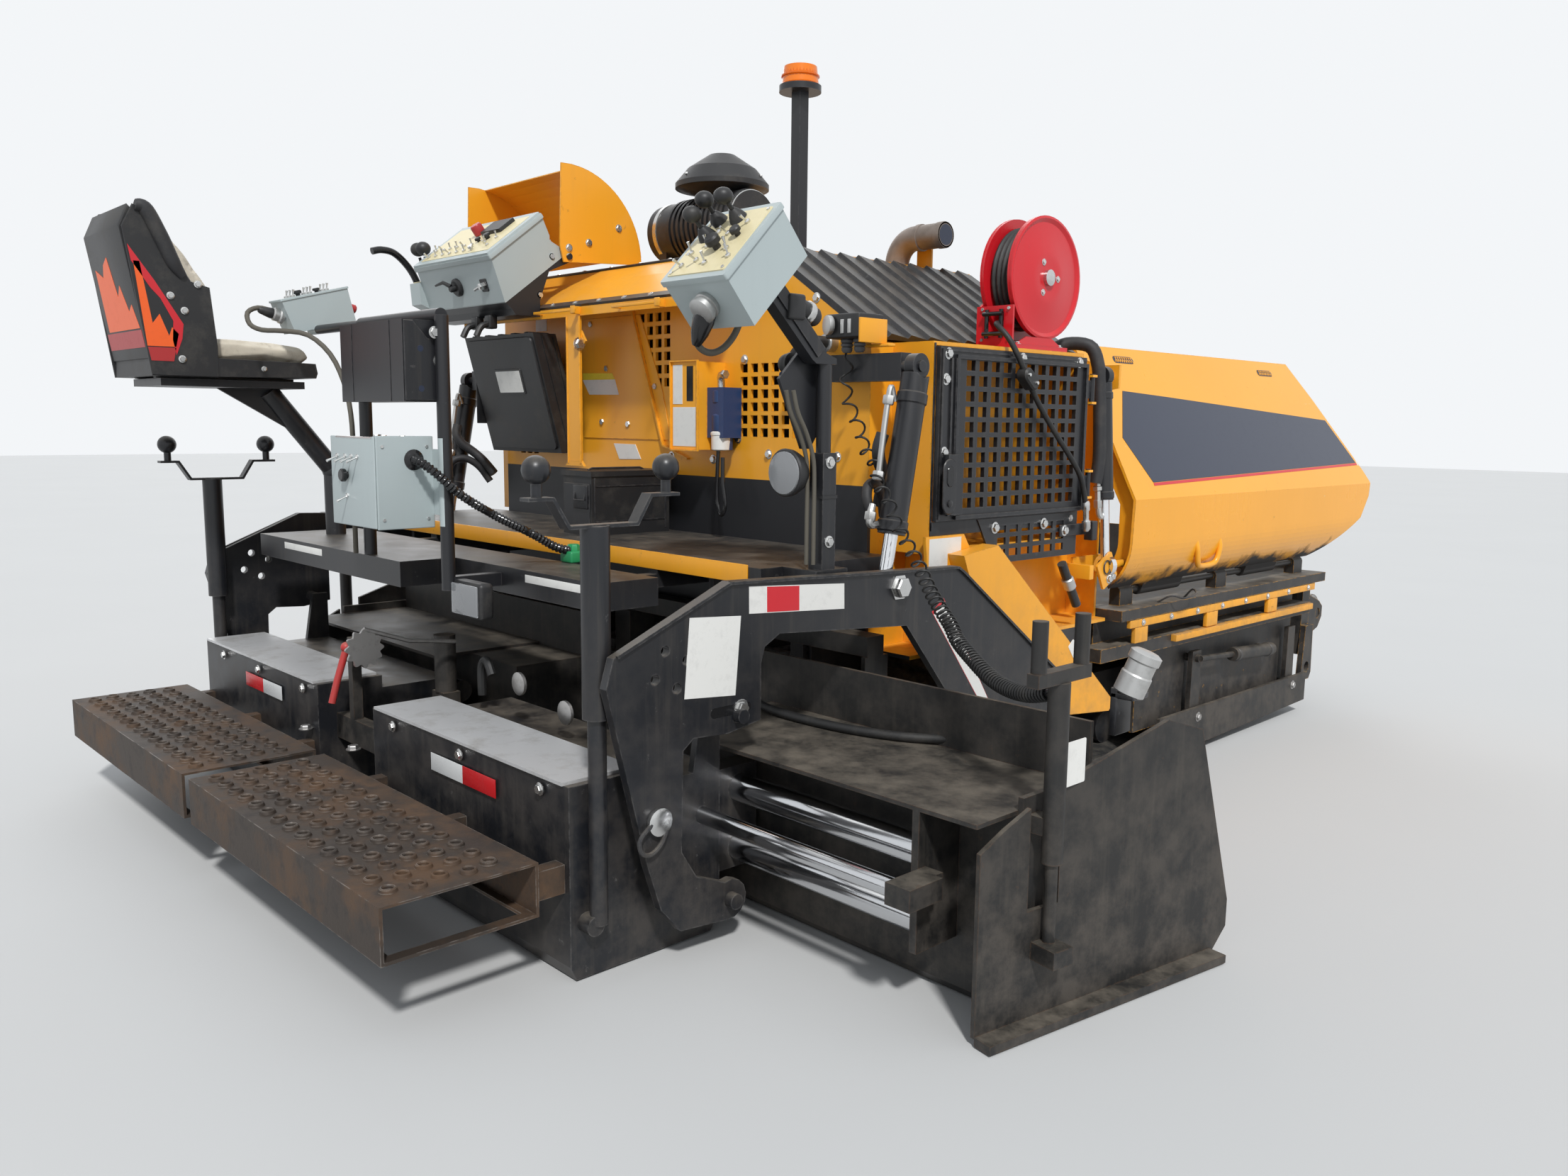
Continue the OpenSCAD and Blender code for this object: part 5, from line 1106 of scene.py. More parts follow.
class PAVER_OT_body_trim(bpy.types.Operator):
    """Hood strips, pulls, bolts, wall panels, blank labels and the pump's details"""
    bl_idname = "paver.body_trim"
    bl_label = "Body Trim"

    def execute(self, context):
        s = context.scene.paver_trim
        rise = unit([0, 0.172, 0.112])
        out = np.cross((1, 0, 0), rise)
        hood = lambda x, along, up=0.0: np.array([0, 1.0, 1.7208]) + np.array([x, 0, 0]) + along * rise + up * out
        strip = lambda x, along: np.array([[hood(u, v, h) for u, v in ((x[0], along), (x[1], along),
                        (x[1], along + 0.030), (x[0], along + 0.030))] for h in (-0.001, 0.009)])
        strips = [strip((-1.015, 0.550), 0.004), block((-1.015, 1.276, 1.8915), (0.550, 1.312, 1.9015), 0.003)]
        edge = [ribbon([(1.0, 1.722), (1.176, 1.8385), (1.278, 1.8945)], 0, (-1.027, -1.0255), 0.026),
            ribbon([(1.0, 1.722), (1.176, 1.8385), (1.278, 1.8945)], 0, (0.5605, 0.562), 0.026)]
        fixing = [g for x in np.linspace(-0.98, 0.51, 11) for g in bolt(hood(x, 0.019, 0.009), out, 0.008, 0.005)]
        fixing += [g for x in np.linspace(-0.95, 0.51, 9) for g in bolt((x, 1.294, 1.9015), UP, 0.008, 0.005)]
        pulls = [g for x0, x1, z in ((-0.44, -0.165, 1.708), (0.054, 0.325, 1.704))
            for g in (block((x0, 0.962, z - 0.005), (x1, 0.967, z + 0.005), 0.002), block((x0, 0.964, z - 0.005),
                    (x0 + 0.006, 1.001, z + 0.005), 0.002), block((x1 - 0.028, 0.962, z - 0.014),
                    (x1 - 0.022, 1.001, z + 0.014), 0.002), block((x1 - 0.028, 0.960, z - 0.014),
                    (x1, 0.964, z + 0.014), 0.002))]
        y = 1.1799
        wall_bolts = [(-0.379, y, 1.679), (-0.278, y, 1.511), (-0.311, y, 1.312), (-0.145, y, 1.305), (0.111, y, 1.195),
            (0.342, y, 1.190), (0.470, y, 1.262), (0.500, y, 1.522), (0.020, y, 1.441), (-0.960, y, 1.50),
            (-0.960, y, 1.42), (-0.960, y, 1.26), (-0.880, y, 1.40), (0.62, y, 1.215), (0.93, y, 1.215),
            (0.93, y, 1.60), (0.83, y, 1.70)]
        panels = [plate([(-0.430, 1.250), (0.110, 1.250), (0.060, 1.430), (-0.070, 1.700), (-0.430, 1.700)], 1, 1.1765,
                1.181, 0.0012)]
        frame_bar = [ribbon([(-0.110, 1.715), (0.070, 1.230), (0.215, 1.185)], 1, (1.165, 1.1805), 0.006)]
        clevis = [plate([(-0.300, 1.600), (-0.255, 1.560), (-0.215, 1.560), (-0.170, 1.600), (-0.200, 1.640),
                    (-0.230, 1.600), (-0.250, 1.640)], 1, 1.010, 1.018, 0.001),
            plate([(-0.295, 1.150), (-0.175, 1.150), (-0.195, 1.170), (-0.275, 1.170)], 1, 0.999, 1.011, 0.001),
            *[rod([(x, 1.000, 1.690), (x, 1.000, 1.160)], 0.004, 8) for x in (-0.275, -0.195)]]
        pin = [*bolts([(-0.195, 1.0, 1.590)], RIGHT, 0.018, 0.014), *bolts([(-0.205, 0.9995, 1.590)], BACK, 0.014,
                0.010)]
        label = lambda outline, face=1.1795, depth=1.0: plate(outline, 1, face - s.label * depth, face + 0.001, 0.0003)
        white = [label([(-0.436, 1.497 - 0.026), (-0.225, 1.470), (-0.200, 1.413), (-0.392, 1.415)], 1.1765),
            label([(-0.239, 1.232), (-0.104, 1.231), (-0.070, 1.178), (-0.204, 1.174)]),
            label(rectangle(0.70, 1.155, 0.78, 1.168)), label(rectangle(-0.769, 1.718, -0.69, 1.67))]
        yellow = [label([(-0.436, 1.497), (-0.242, 1.493), (-0.226, 1.4705), (-0.432, 1.4715)], 1.1765)]
        # pump housing: its window, blank labels, pump fittings and bowl
        house_y = 1.0598
        # the window is a flat dark plate: painted shade of the opening
        painted_shade = [plate(rectangle(0.345, 1.385, 0.378, 1.500), 1, house_y - 0.0012, house_y + 0.001, 0.0003)]
        white += [label(rectangle(0.272, 1.375, 0.322, 1.505), house_y), label(rectangle(0.272, 1.235, 0.392, 1.365),
                house_y)]
        rims = [ribbon([(0.264, 1.224), (0.402, 1.224), (0.402, 1.515), (0.264, 1.515), (0.264, 1.2245)], 1,
                (1.052, 1.061), -0.004)]
        pump = [lathe([(0.030, 0), (0.032, 0.004), (0.032, 0.050), (0.026, 0.056), (0.026, 0.090), (0.030, 0.094),
                    (0.030, 0.130), (0.022, 0.136)], (0.445, 1.126, 1.288), UP, 20)]
        elbow = [rod([(0.445, 1.126, 1.424), (0.445, 1.124, 1.450), (0.452, 1.118, 1.468), (0.475, 1.110, 1.472)],
                0.013, 12, 12), *bolts([(0.477, 1.109, 1.472)], (1, -0.1, 0), 0.015, 0.012, False)]
        bowl = [lathe([(0.024, 0), (0.033, 0.004), (0.034, 0.050), (0.036, 0.052), (0.036, 0.060), (0.030, 0.064)],
                (0.445, 1.126, 1.222), UP, 20)]
        lines = [rod([(0.437, 1.120, 1.222), (0.437, 1.116, 1.150), (0.440, 1.112, 1.060), (0.470, 1.105, 1.010),
                    (0.490, 1.105, 1.045), (0.470, 1.112, 1.120), (0.462, 1.118, 1.200)], 0.007, 8, 30)]
        case_face = on_face((1.085, 1.190), (0.965, 1.640))
        ribs = [block((x - 0.016, 0.972, 1.632), (x + 0.016, 1.068, 1.646), 0.005) for x in np.linspace(-0.90, -0.51,
                5)]
        case = [face_slab(case_face, (-0.945, -0.465), (0.015, 0.452), 0.008, 0.02),
            face_slab(case_face, (-0.780, -0.585), (0.235, 0.335), 0.011, 0.005), block((-0.955, 1.010, 1.30),
                (-0.9605, 1.150, 1.60), 0.003), ribbon([(1.172, 1.225), (1.062, 1.630)], 0, (-0.4505, -0.4465), 0.012),
            ribbon([(1.125, 1.225), (1.012, 1.630)], 0, (-0.4505, -0.4465), 0.012)]
        notice = [face_slab((case_face[0] + 0.011 * case_face[2], *case_face[1:]), (-0.770, -0.595), (0.243, 0.327),
                0.001, 0.003)]
        can = [plate(rectangle(-0.020, 0.955, 0.130, 1.105), 1, 0.812, 0.816, 0.002), block((0.045, 0.804, 1.020),
                (0.125, 0.813, 1.100), 0.003), rod([(0.055, 0.806, 1.075), (0.055, 0.800, 1.050), (0.115, 0.800, 1.050),
                    (0.115, 0.806, 1.075)], 0.003, 6), *[block((0.1385, y0, 0.945), (0.1425, y0 + 0.006, 1.125), 0.001)
                for y0 in (0.825, 1.125)], *[ribbon([(0.83, z), (1.13, z)], 0, (0.139, 0.1425), 0.004)
                for z in (0.975, 1.095)], rod([(0.055, 0.86, 1.148), (0.055, 0.875, 1.154), (0.055, 1.08, 1.154),
                    (0.055, 1.095, 1.148)], 0.004, 6)]
        box = [block((0.985, 1.060, 1.562), (1.120, 1.168, 1.632), 0.006)]
        glands = [g for x in (1.018, 1.068) for g in (lathe([(0.016, 0), (0.019, 0.004), (0.019, 0.010), (0.015, 0.012),
                        (0.018, 0.015), (0.018, 0.021), (0.014, 0.023), (0.017, 0.026), (0.016, 0.034), (0.011, 0.040)],
                    (x + 0.010, 1.110, 1.563), DOWN, 14),)]
        ring = [lathe([(0.026, 0), (0.028, 0.003), (0.028, 0.016), (0.022, 0.018)], (1.010, 1.060, 1.600),
                (-0.35, -0.93, 0), 20), block((1.050, 1.056, 1.575), (1.062, 1.061, 1.615), 0.001),
            block((1.078, 1.056, 1.575), (1.090, 1.061, 1.615), 0.001)]
        holder = [block((1.060, 1.150, 1.540), (1.155, 1.1805, 1.548), 0.002), block((1.118, 1.060, 1.548),
                (1.126, 1.176, 1.618), 0.002)]
        coupling = [lathe([(0.028, 0), (0.028, 0.030), (0.024, 0.034)], (0.900, 1.180, 1.560), BACK, 18), ]
        bend = [rod([(0.900, 1.150, 1.560), (0.895, 1.110, 1.560), (0.870, 1.090, 1.548), (0.835, 1.088, 1.525),
                    (0.820, 1.100, 1.505)], 0.019, 12, 14)]
        make("body_trim", "chassis", ("yellow_paint", [*pulls, *panels, *frame_bar, *clevis, *rims, *holder]),
            ("black_paint", [*strips, *edge, *can]), ("bright_steel", [*fixing, *bolts(wall_bolts, BACK, s.bolt, 0.009),
                    *pin, *elbow]), ("white_label", [*white, *bowl, *notice]), ("yellow_label", yellow),
            ("black_gloss", [*painted_shade, *lines]), ("blue_pump", pump), ("black_plastic", [*case, *ribs, *box, *bend]),
            ("cast_silver", [*ring, *coupling]), ("engine_grey", [*glands]), slot="yellow_paint")
        return {"FINISHED"}


class PAVER_OT_radiator_trim(bpy.types.Operator):
    """Base plate, bolts, raised frame, latch and strap of the grille door; louvre slots as flat plates of painted
    shade; strut labels
    """
    bl_idname = "paver.radiator_trim"
    bl_label = "Radiator Box Trim"

    def execute(self, context):
        s = context.scene.paver_trim
        x = 1.2345
        rim = [ribbon([(1.372, 1.045), (2.058, 1.045), (2.058, 1.512), (1.372, 1.512), (1.372, 1.0455)], 0,
                (x, x + 0.010), -0.012)]
        lip = [ribbon([(1.296, 1.036), (1.296, 1.538), (2.064, 1.538)], 0, (x, x + 0.005), -0.006)]
        fold = [ribbon([(1.345, 1.045), (1.345, 1.512)], 0, (x, x + 0.006), 0.008),
            ribbon([(1.360, 1.045), (1.360, 1.512)], 0, (x, x + 0.008), 0.004)]
        dish = [plate(oval(0.062, 0.166) + (1.312, 1.135), 0, 1.2612, 1.2665, 0.003)]
        key = [plate(oval(0.030, 0.062) + (1.312, 1.165), 0, 1.2660, 1.2695, 0.002),
            lathe([(0.011, 0), (0.011, 0.004), (0.008, 0.005)], (1.2660, 1.312, 1.085), RIGHT, 16)]
        door_bolts = bolts([(x, 1.372 - 0.045, 1.525), (x, 1.700, 1.527), (x, 2.025, 1.527), (x, 1.318, 1.45),
                (x, 1.318, 1.235)], RIGHT, 0.013, 0.009)
        make("grille_door_trim", "door", ("black_paint", [*rim, *lip, *fold, *dish]), ("black_gloss", key),
            ("bright_steel", door_bolts), slot="black_paint")
        x = 1.2155
        # the louvre slots are flat black plates: painted shade in the openings
        slots = [plate(rounded_rect(0.026, 0.022, 0.008, 3) + (2.050, z), 0, x - 0.001, x + 0.0008, 0.0003)
            for z in np.arange(1.09, 1.53, 0.043)]
        base = [block((x, 1.282, 0.985), (x + 0.0035, 2.078, 1.028), 0.001), block((x, 1.282, 1.0),
                (x + 0.0035, 1.2895, 1.555), 0.001)]
        strap = [block((1.223, 1.960, 0.945), (1.231, 2.135, 0.985), 0.003), block((1.223, 2.118, 0.925),
                (1.258, 2.150, 0.992), 0.004)]
        strap_bolts = bolts([(1.231, 1.985, 0.966), (1.2155, 2.030, 1.005), (1.2235, 1.60, 0.995),
                (1.2235, 1.87, 0.995)], RIGHT, 0.014, 0.010)
        gusset = [plate([(1.255, 0.985), (1.440, 0.985), (1.500, 0.900), (1.440, 0.845), (1.270, 0.845)], 0, 1.2145,
                1.2265, 0.001)]
        label = [plate(rectangle(1.272, 0.890, 1.425, 0.978), 0, 1.2262, 1.2262 + s.label, 0.0003)]
        x = 1.2902
        across_label = [plate(turned(rounded_rect(0.075, 0.038, 0.004), -52, (1.985, 0.560)), 0, x - 0.001, x + s.label,
                0.0003)]
        stay = [rod([(1.262, 1.93, 0.86), (1.262, 1.99, 0.77), (1.262, 2.03, 0.71)], 0.016, 12, 8)]
        stay_cap = [lathe([(0.017, 0), (0.021, 0.004), (0.021, 0.040), (0.016, 0.046)], (1.262, 1.965, 0.808),
                (0, 0.55, -0.83), 16)]
        plate_yellow = [plate(turned(rounded_rect(0.100, 0.100, 0.006), 28, (2.205, 0.815)), 0, 1.262, 1.272, 0.001)]
        ring = [rod([(1.276, 2.195 + 0.020 * math.cos(a), 0.828 + 0.024 * math.sin(a)) for a in np.linspace(0.3,
                        TURN + 0.2, 20)], 0.0025, 6)]
        ring_bolts = bolts([(1.272, 2.215, 0.785), (1.272, 2.236, 0.792)], RIGHT, 0.012, 0.010)
        lower = [block((1.17, 2.10, 0.79), (1.266, 2.125, 0.84), 0.002)]
        hang = [plate(rectangle(2.12, 0.86, 2.30, 0.80), 0, 1.176, 1.186, 0.001)]
        make("radiator_trim", "chassis", ("black_gloss", slots), ("black_paint", [*base, *strap, *ring, *stay]),
            ("bright_steel", [*strap_bolts, *ring_bolts]), ("yellow_paint", [*gusset, *plate_yellow, *lower, *hang]),
            ("white_label", [*label, *across_label]), ("cast_silver", stay_cap), slot="yellow_paint")
        # pipes and fittings on the lift cylinders
        for side, word in SIDES:
            turn = np.array([side, 1, 1])
            axis = unit([0, -0.120, -0.614])
            top = np.array([1.262, 1.150, 1.480])
            along = lambda d, dx=0.0, dy=0.0: turn * (top + d * axis + np.array([dx, dy, 0]))
            pipe = [rod([along(0.10, -0.030, -0.038), along(0.06, -0.030, -0.062), along(0.12, -0.030, -0.066),
                        along(0.24, -0.030, -0.062), along(0.30, -0.032, -0.056)], 0.0085, 10, 24),
                rod([along(0.452, -0.026, -0.034), along(0.452, -0.030, -0.060), along(0.430, -0.032, -0.066),
                        along(0.395, -0.036, -0.058)], 0.011, 10, 12)]
            nuts = [g for d, dx, dy in ((0.085, -0.030, -0.064), (0.300, -0.032, -0.057), (0.415, -0.034, -0.062))
                for g in (lathe([(0.015, 0), (0.017, 0.003), (0.017, 0.022), (0.014, 0.026)], along(d, dx, dy),
                        turn * axis, 6),)]
            collar = [lathe([(0.0408, 0), (0.044, 0.004), (0.044, 0.030), (0.0408, 0.034)], along(d), turn * axis, 28)
                for d in (0.075, 0.440)]
            make(f"lift_cylinder_pipes_{word}", f"lift_barrel_{word}", ("cast_silver", [*pipe, *nuts]),
                ("black_paint", collar), slot="bare_steel")
            axis = unit([0.045, 0, -0.66])
            top = np.array([1.205, 2.225, 1.490])
            low = [lathe([(0.0305, 0), (0.033, 0.003), (0.033, 0.022), (0.0305, 0.025)], turn * (top + d * axis),
                    turn * axis, 24) for d in (0.055, 0.400)]
            port = [lathe([(0.012, 0), (0.012, 0.012), (0.017, 0.014), (0.017, 0.026), (0.011, 0.030), (0.011, 0.060),
                        (0.016, 0.062), (0.016, 0.085), (0.012, 0.090)], turn * (1.226, 2.186, 1.122),
                    turn * (0.04, 0.06, -1.0), 6), rod([turn * (1.231, 2.192, 1.035), turn * (1.233, 2.196, 1.010),
                        turn * (1.238, 2.205, 1.000)], 0.011, 10, 8)]
            make(f"wing_cylinder_trim_{word}", f"wing_barrel_{word}", ("black_paint", low), slot="black_paint")
            make(f"wing_hose_fitting_{word}", "chassis", ("cast_silver", port), slot="bare_steel")
        return {"FINISHED"}


class PAVER_OT_reel_trim(bpy.types.Operator):
    """Dished discs, hub, wound hose and guide rollers of the hose reel; beacon lens, exhaust rim and cleaner clamps"""
    bl_idname = "paver.reel_trim"
    bl_label = "Reel, Beacon and Exhaust"

    def execute(self, context):
        hub = np.array([1.185, 1.875, 1.793])
        dish = [lathe([(0.188, -0.001), (0.196, 0.001), (0.196, 0.008), (0.188, 0.010), (0.176, 0.002), (0.120, 0.006),
                    (0.085, 0.013), (0.060, 0.014), (0.040, 0.012)], hub, RIGHT, 48)]
        back = [lathe([(0.188, -0.001), (0.196, 0.001), (0.196, 0.005), (0.188, 0.005)], (1.0765, 1.875, 1.793), LEFT,
                48)]
        boss = [lathe([(0.026, 0), (0.026, 0.012), (0.020, 0.016)], hub + (0.012, 0, 0), RIGHT, 20)]
        a = np.linspace(0, TURN * 4.5, 64)
        wound = [lathe([(0.094, -0.043), *[(0.158 + 0.0085 * abs(math.sin(t / 2)), -0.043 + 0.086 * t / a[-1])
                        for t in a], (0.094, 0.043)], (1.131, 1.875, 1.793), RIGHT, 40)]
        make("reel_dress", "reel", ("red_paint", [*dish, *back]),
            ("bright_steel",
                [*boss, *[g for k in range(3) for g in bolt(hub + (0.013, 0.055 * math.cos(k * 2.1),
                        0.055 * math.sin(k * 2.1)), RIGHT, 0.008, 0.005)]]), ("hose_rubber", wound), slot="red_paint")
        rollers = [rod([(x, 1.674, 1.592), (x, 1.674, 1.682)], 0.007, 10) for x in (1.108, 1.164)] + [
            rod([(1.098, 1.668, z), (1.174, 1.668, z)], 0.007, 10) for z in (1.606, 1.668)]
        corners = bolts([(x, 1.6798, z) for x in (1.088, 1.190) for z in (1.588, 1.684)], BACK, 0.006, 0.005, False)
        foot = bolts([(x, y, 1.574) for x, y in ((1.195, 1.720), (1.195, 1.955), (1.090, 1.955))], UP, 0.010, 0.008)
        gusset = [plate([(1.700, 1.574), (1.960, 1.574), (1.905, 1.600), (1.760, 1.600)], 0, 1.198, 1.203, 0.001)]
        make("reel_guide", "chassis", ("black_gloss", rollers), ("bright_steel", [*corners, *foot]),
            ("red_paint", gusset), slot="red_paint")
        lens = [lathe([(0.063, 2.4195), (0.0640, 2.424), (0.0600, 2.428), (0.0592, 2.445), (0.0640, 2.448),
                    (0.0640, 2.452), (0.0580, 2.456), (0.0560, 2.470), (0.045, 2.4785), (0.010, 2.4798)],
                (0.520, 1.400, 0), UP, 32)]
        make("beacon_lens", "chassis", ("amber_lens", lens), slot="yellow_paint")
        rim = [lathe([(0.0455, -0.03), (0.0475, -0.028), (0.0475, -0.004), (0.046, 0.0), (0.040, 0.0), (0.039, -0.02)],
                (0.670, 2.0, 1.9976), RIGHT, 28), lathe([(0.0452, 0), (0.049, 0.002), (0.049, 0.018), (0.0452, 0.020)],
                (0.545, 2.0, 1.9976), RIGHT, 28)]
        # a flat dark disc across the pipe's end: painted shade of its open bore
        bore_shade = [lathe([(0.037, 0), (0.037, 0.0006)], (0.6698, 2.0, 1.9976), RIGHT, 24)]
        straps = [lathe([(0.1125, 0), (0.1155, 0.001), (0.1155, 0.021), (0.1125, 0.022)], (x, 1.560, 2.050), RIGHT, 40)
            for x in (-0.345, 0.095)]
        cap_bolts = [g for k in range(3) for g in bolt((-0.06 + 0.16 * math.cos(k * 2.1 + 0.4),
                    1.56 + 0.16 * math.sin(k * 2.1 + 0.4), 2.2235), UP, 0.007, 0.006, False)]
        make("exhaust_rim", "chassis", ("exhaust_steel", rim), ("navy_band_and_painted_hole_shade", bore_shade), slot="exhaust_steel")
        make("cleaner_trim", "chassis", ("bright_steel", [*straps, *cap_bolts]), slot="bare_steel")
        return {"FINISHED"}


class PAVER_OT_hopper_trim(bpy.types.Operator):
    """Wing bands and lines, mesh slots, pull handles, stepped ledge bars, wire loop and roller ends"""
    bl_idname = "paver.hopper_trim"
    bl_label = "Hopper Trim"

    def execute(self, context):
        bend, top = np.array([1.303, 1.060]), np.array([1.000, 1.615])
        rise = unit(top - bend)
        out = np.array([rise[1], 0, -rise[0]])
        skin = lambda shape, low, high: np.array([[np.array([bend[0] + v * rise[0], y, bend[1] + v * rise[1]]) + h * out
                    for y, v in shape] for h in (low, high)])
        band = [(2.550, 0.443), (2.870, 0.425), (4.300, 0.336), (4.425, 0.110), (2.488, 0.064), (2.408, 0.247)]
        red = [(2.488, 0.062), (4.425, 0.108), (4.430, 0.098), (2.486, 0.051)]
        white = [(4.432, 0.128), (4.444, 0.104), (4.444, 0.094), (4.436, 0.094)]
        slot_shade_grids, bars = [], []
        for y0, v0 in ((2.655, 0.580), (3.870, 0.572)):
            # each slot is a flat dark oval under the mesh bars: painted shade of the opening
            slot_shade_grids.append(skin(oval(0.145, 0.030) + (y0, v0), -0.001, 0.0010))
            for k in range(9):
                for lean in (-1, 1):
                    line = [(y0 - 0.064 + 0.016 * k, v0 - 0.012), (y0 - 0.060 + 0.016 * k, v0 - 0.012),
                        (y0 - 0.060 + 0.016 * (k + lean * 0.8), v0 + 0.012), (y0 - 0.064 + 0.016 * (k + lean * 0.8),
                            v0 + 0.012)]
                    if abs(line[2][0] - y0) < 0.066:
                        bars.append(skin(line, 0.0008, 0.0022))
        pull = [rod([(1.292, 2.800, 0.885), (1.300, 2.802, 0.850), (1.296, 2.818, 0.800), (1.290, 2.850, 0.785),
                    (1.290, 2.935, 0.785), (1.296, 2.968, 0.800), (1.300, 2.984, 0.850), (1.292, 2.986, 0.885)], 0.011,
                12, 40)]
        for side, word in SIDES:
            flip = np.array([side, 1, 1])
            make(f"wing_marks_{word}", f"wing_{word}", ("navy_band_and_painted_hole_shade", [skin(band, -0.001, 0.0012) * flip,
                        *[g * flip for g in slot_shade_grids]]), ("red_line", [skin(red, -0.001, 0.0014) * flip]),
                ("white_label", [skin(white, -0.001, 0.0014) * flip]), ("yellow_paint", [*[g * flip for g in pull],
                        *[g * flip for g in bars]]), slot="yellow_paint")
        bars = [block((1.268, 2.36, 0.5905), (1.284, 3.975, 0.6205), 0.002, 1), block((1.264, 2.70, 0.5025),
                (1.288, 3.960, 0.5285), 0.002, 1)]
        caps = [g for y in np.linspace(2.45, 3.90, 8) for g in bolt((1.284, y, 0.606), RIGHT, 0.009, 0.006)]
        steps = [block((1.265, y, 0.531), (1.283, y + 0.09, 0.590), 0.003, 1) for y in (2.40, 2.95, 3.50)]
        wire = [rod([(1.255, 2.60, 0.6625), (1.300, 2.62, 0.690), (1.330, 2.66, 0.680), (1.330, 2.75, 0.690),
                    (1.300, 2.78, 0.700), (1.262, 2.79, 0.6625)], 0.004, 6, 24)]
        roller = [lathe([(0.089, 0), (0.091, 0.003), (0.091, 0.016), (0.089, 0.019)], (x, 4.390, 0.420), RIGHT, 32)
            for x in (0.565, 1.088)]
        make("ledge_bars", "chassis", ("worn_yellow", mirrored([*bars, *steps])), ("bright_steel", mirrored(caps)),
            ("black_paint", mirrored(wire)), slot="black_paint")
        for side, word in SIDES:
            end = [lathe([(0.086, 0), (0.070, 0.003), (0.040, 0.004), (0.030, 0.009)], (side * 1.110, 4.390, 0.420),
                    (side, 0, 0), 28)]
            make(f"roller_rims_{word}", f"push_roller_{word}", ("bare_steel", [*[g * [side, 1, 1] for g in roller],
                        *end]), slot="bare_steel")
        ram = [lathe([(0.0285, 0), (0.031, 0.003), (0.031, 0.018), (0.0285, 0.021)], (1.240, 3.30, 0.3708),
                (0, 1, -0.06), 20), lathe([(0.0285, 0), (0.031, 0.003), (0.031, 0.018), (0.0285, 0.021)],
                (1.240, 3.60, 0.353), (0, 1, -0.06), 20)]
        hinges = [g for y in (3.0, 3.9) for g in bolt((1.245, y, 0.150), RIGHT, 0.015, 0.010)]
        make("skirt_trim", "chassis", ("black_paint", mirrored(ram)), ("bare_steel", mirrored(hinges)),
            slot="black_paint")
        return {"FINISHED"}


# Screed, tow arms, deck and lamps

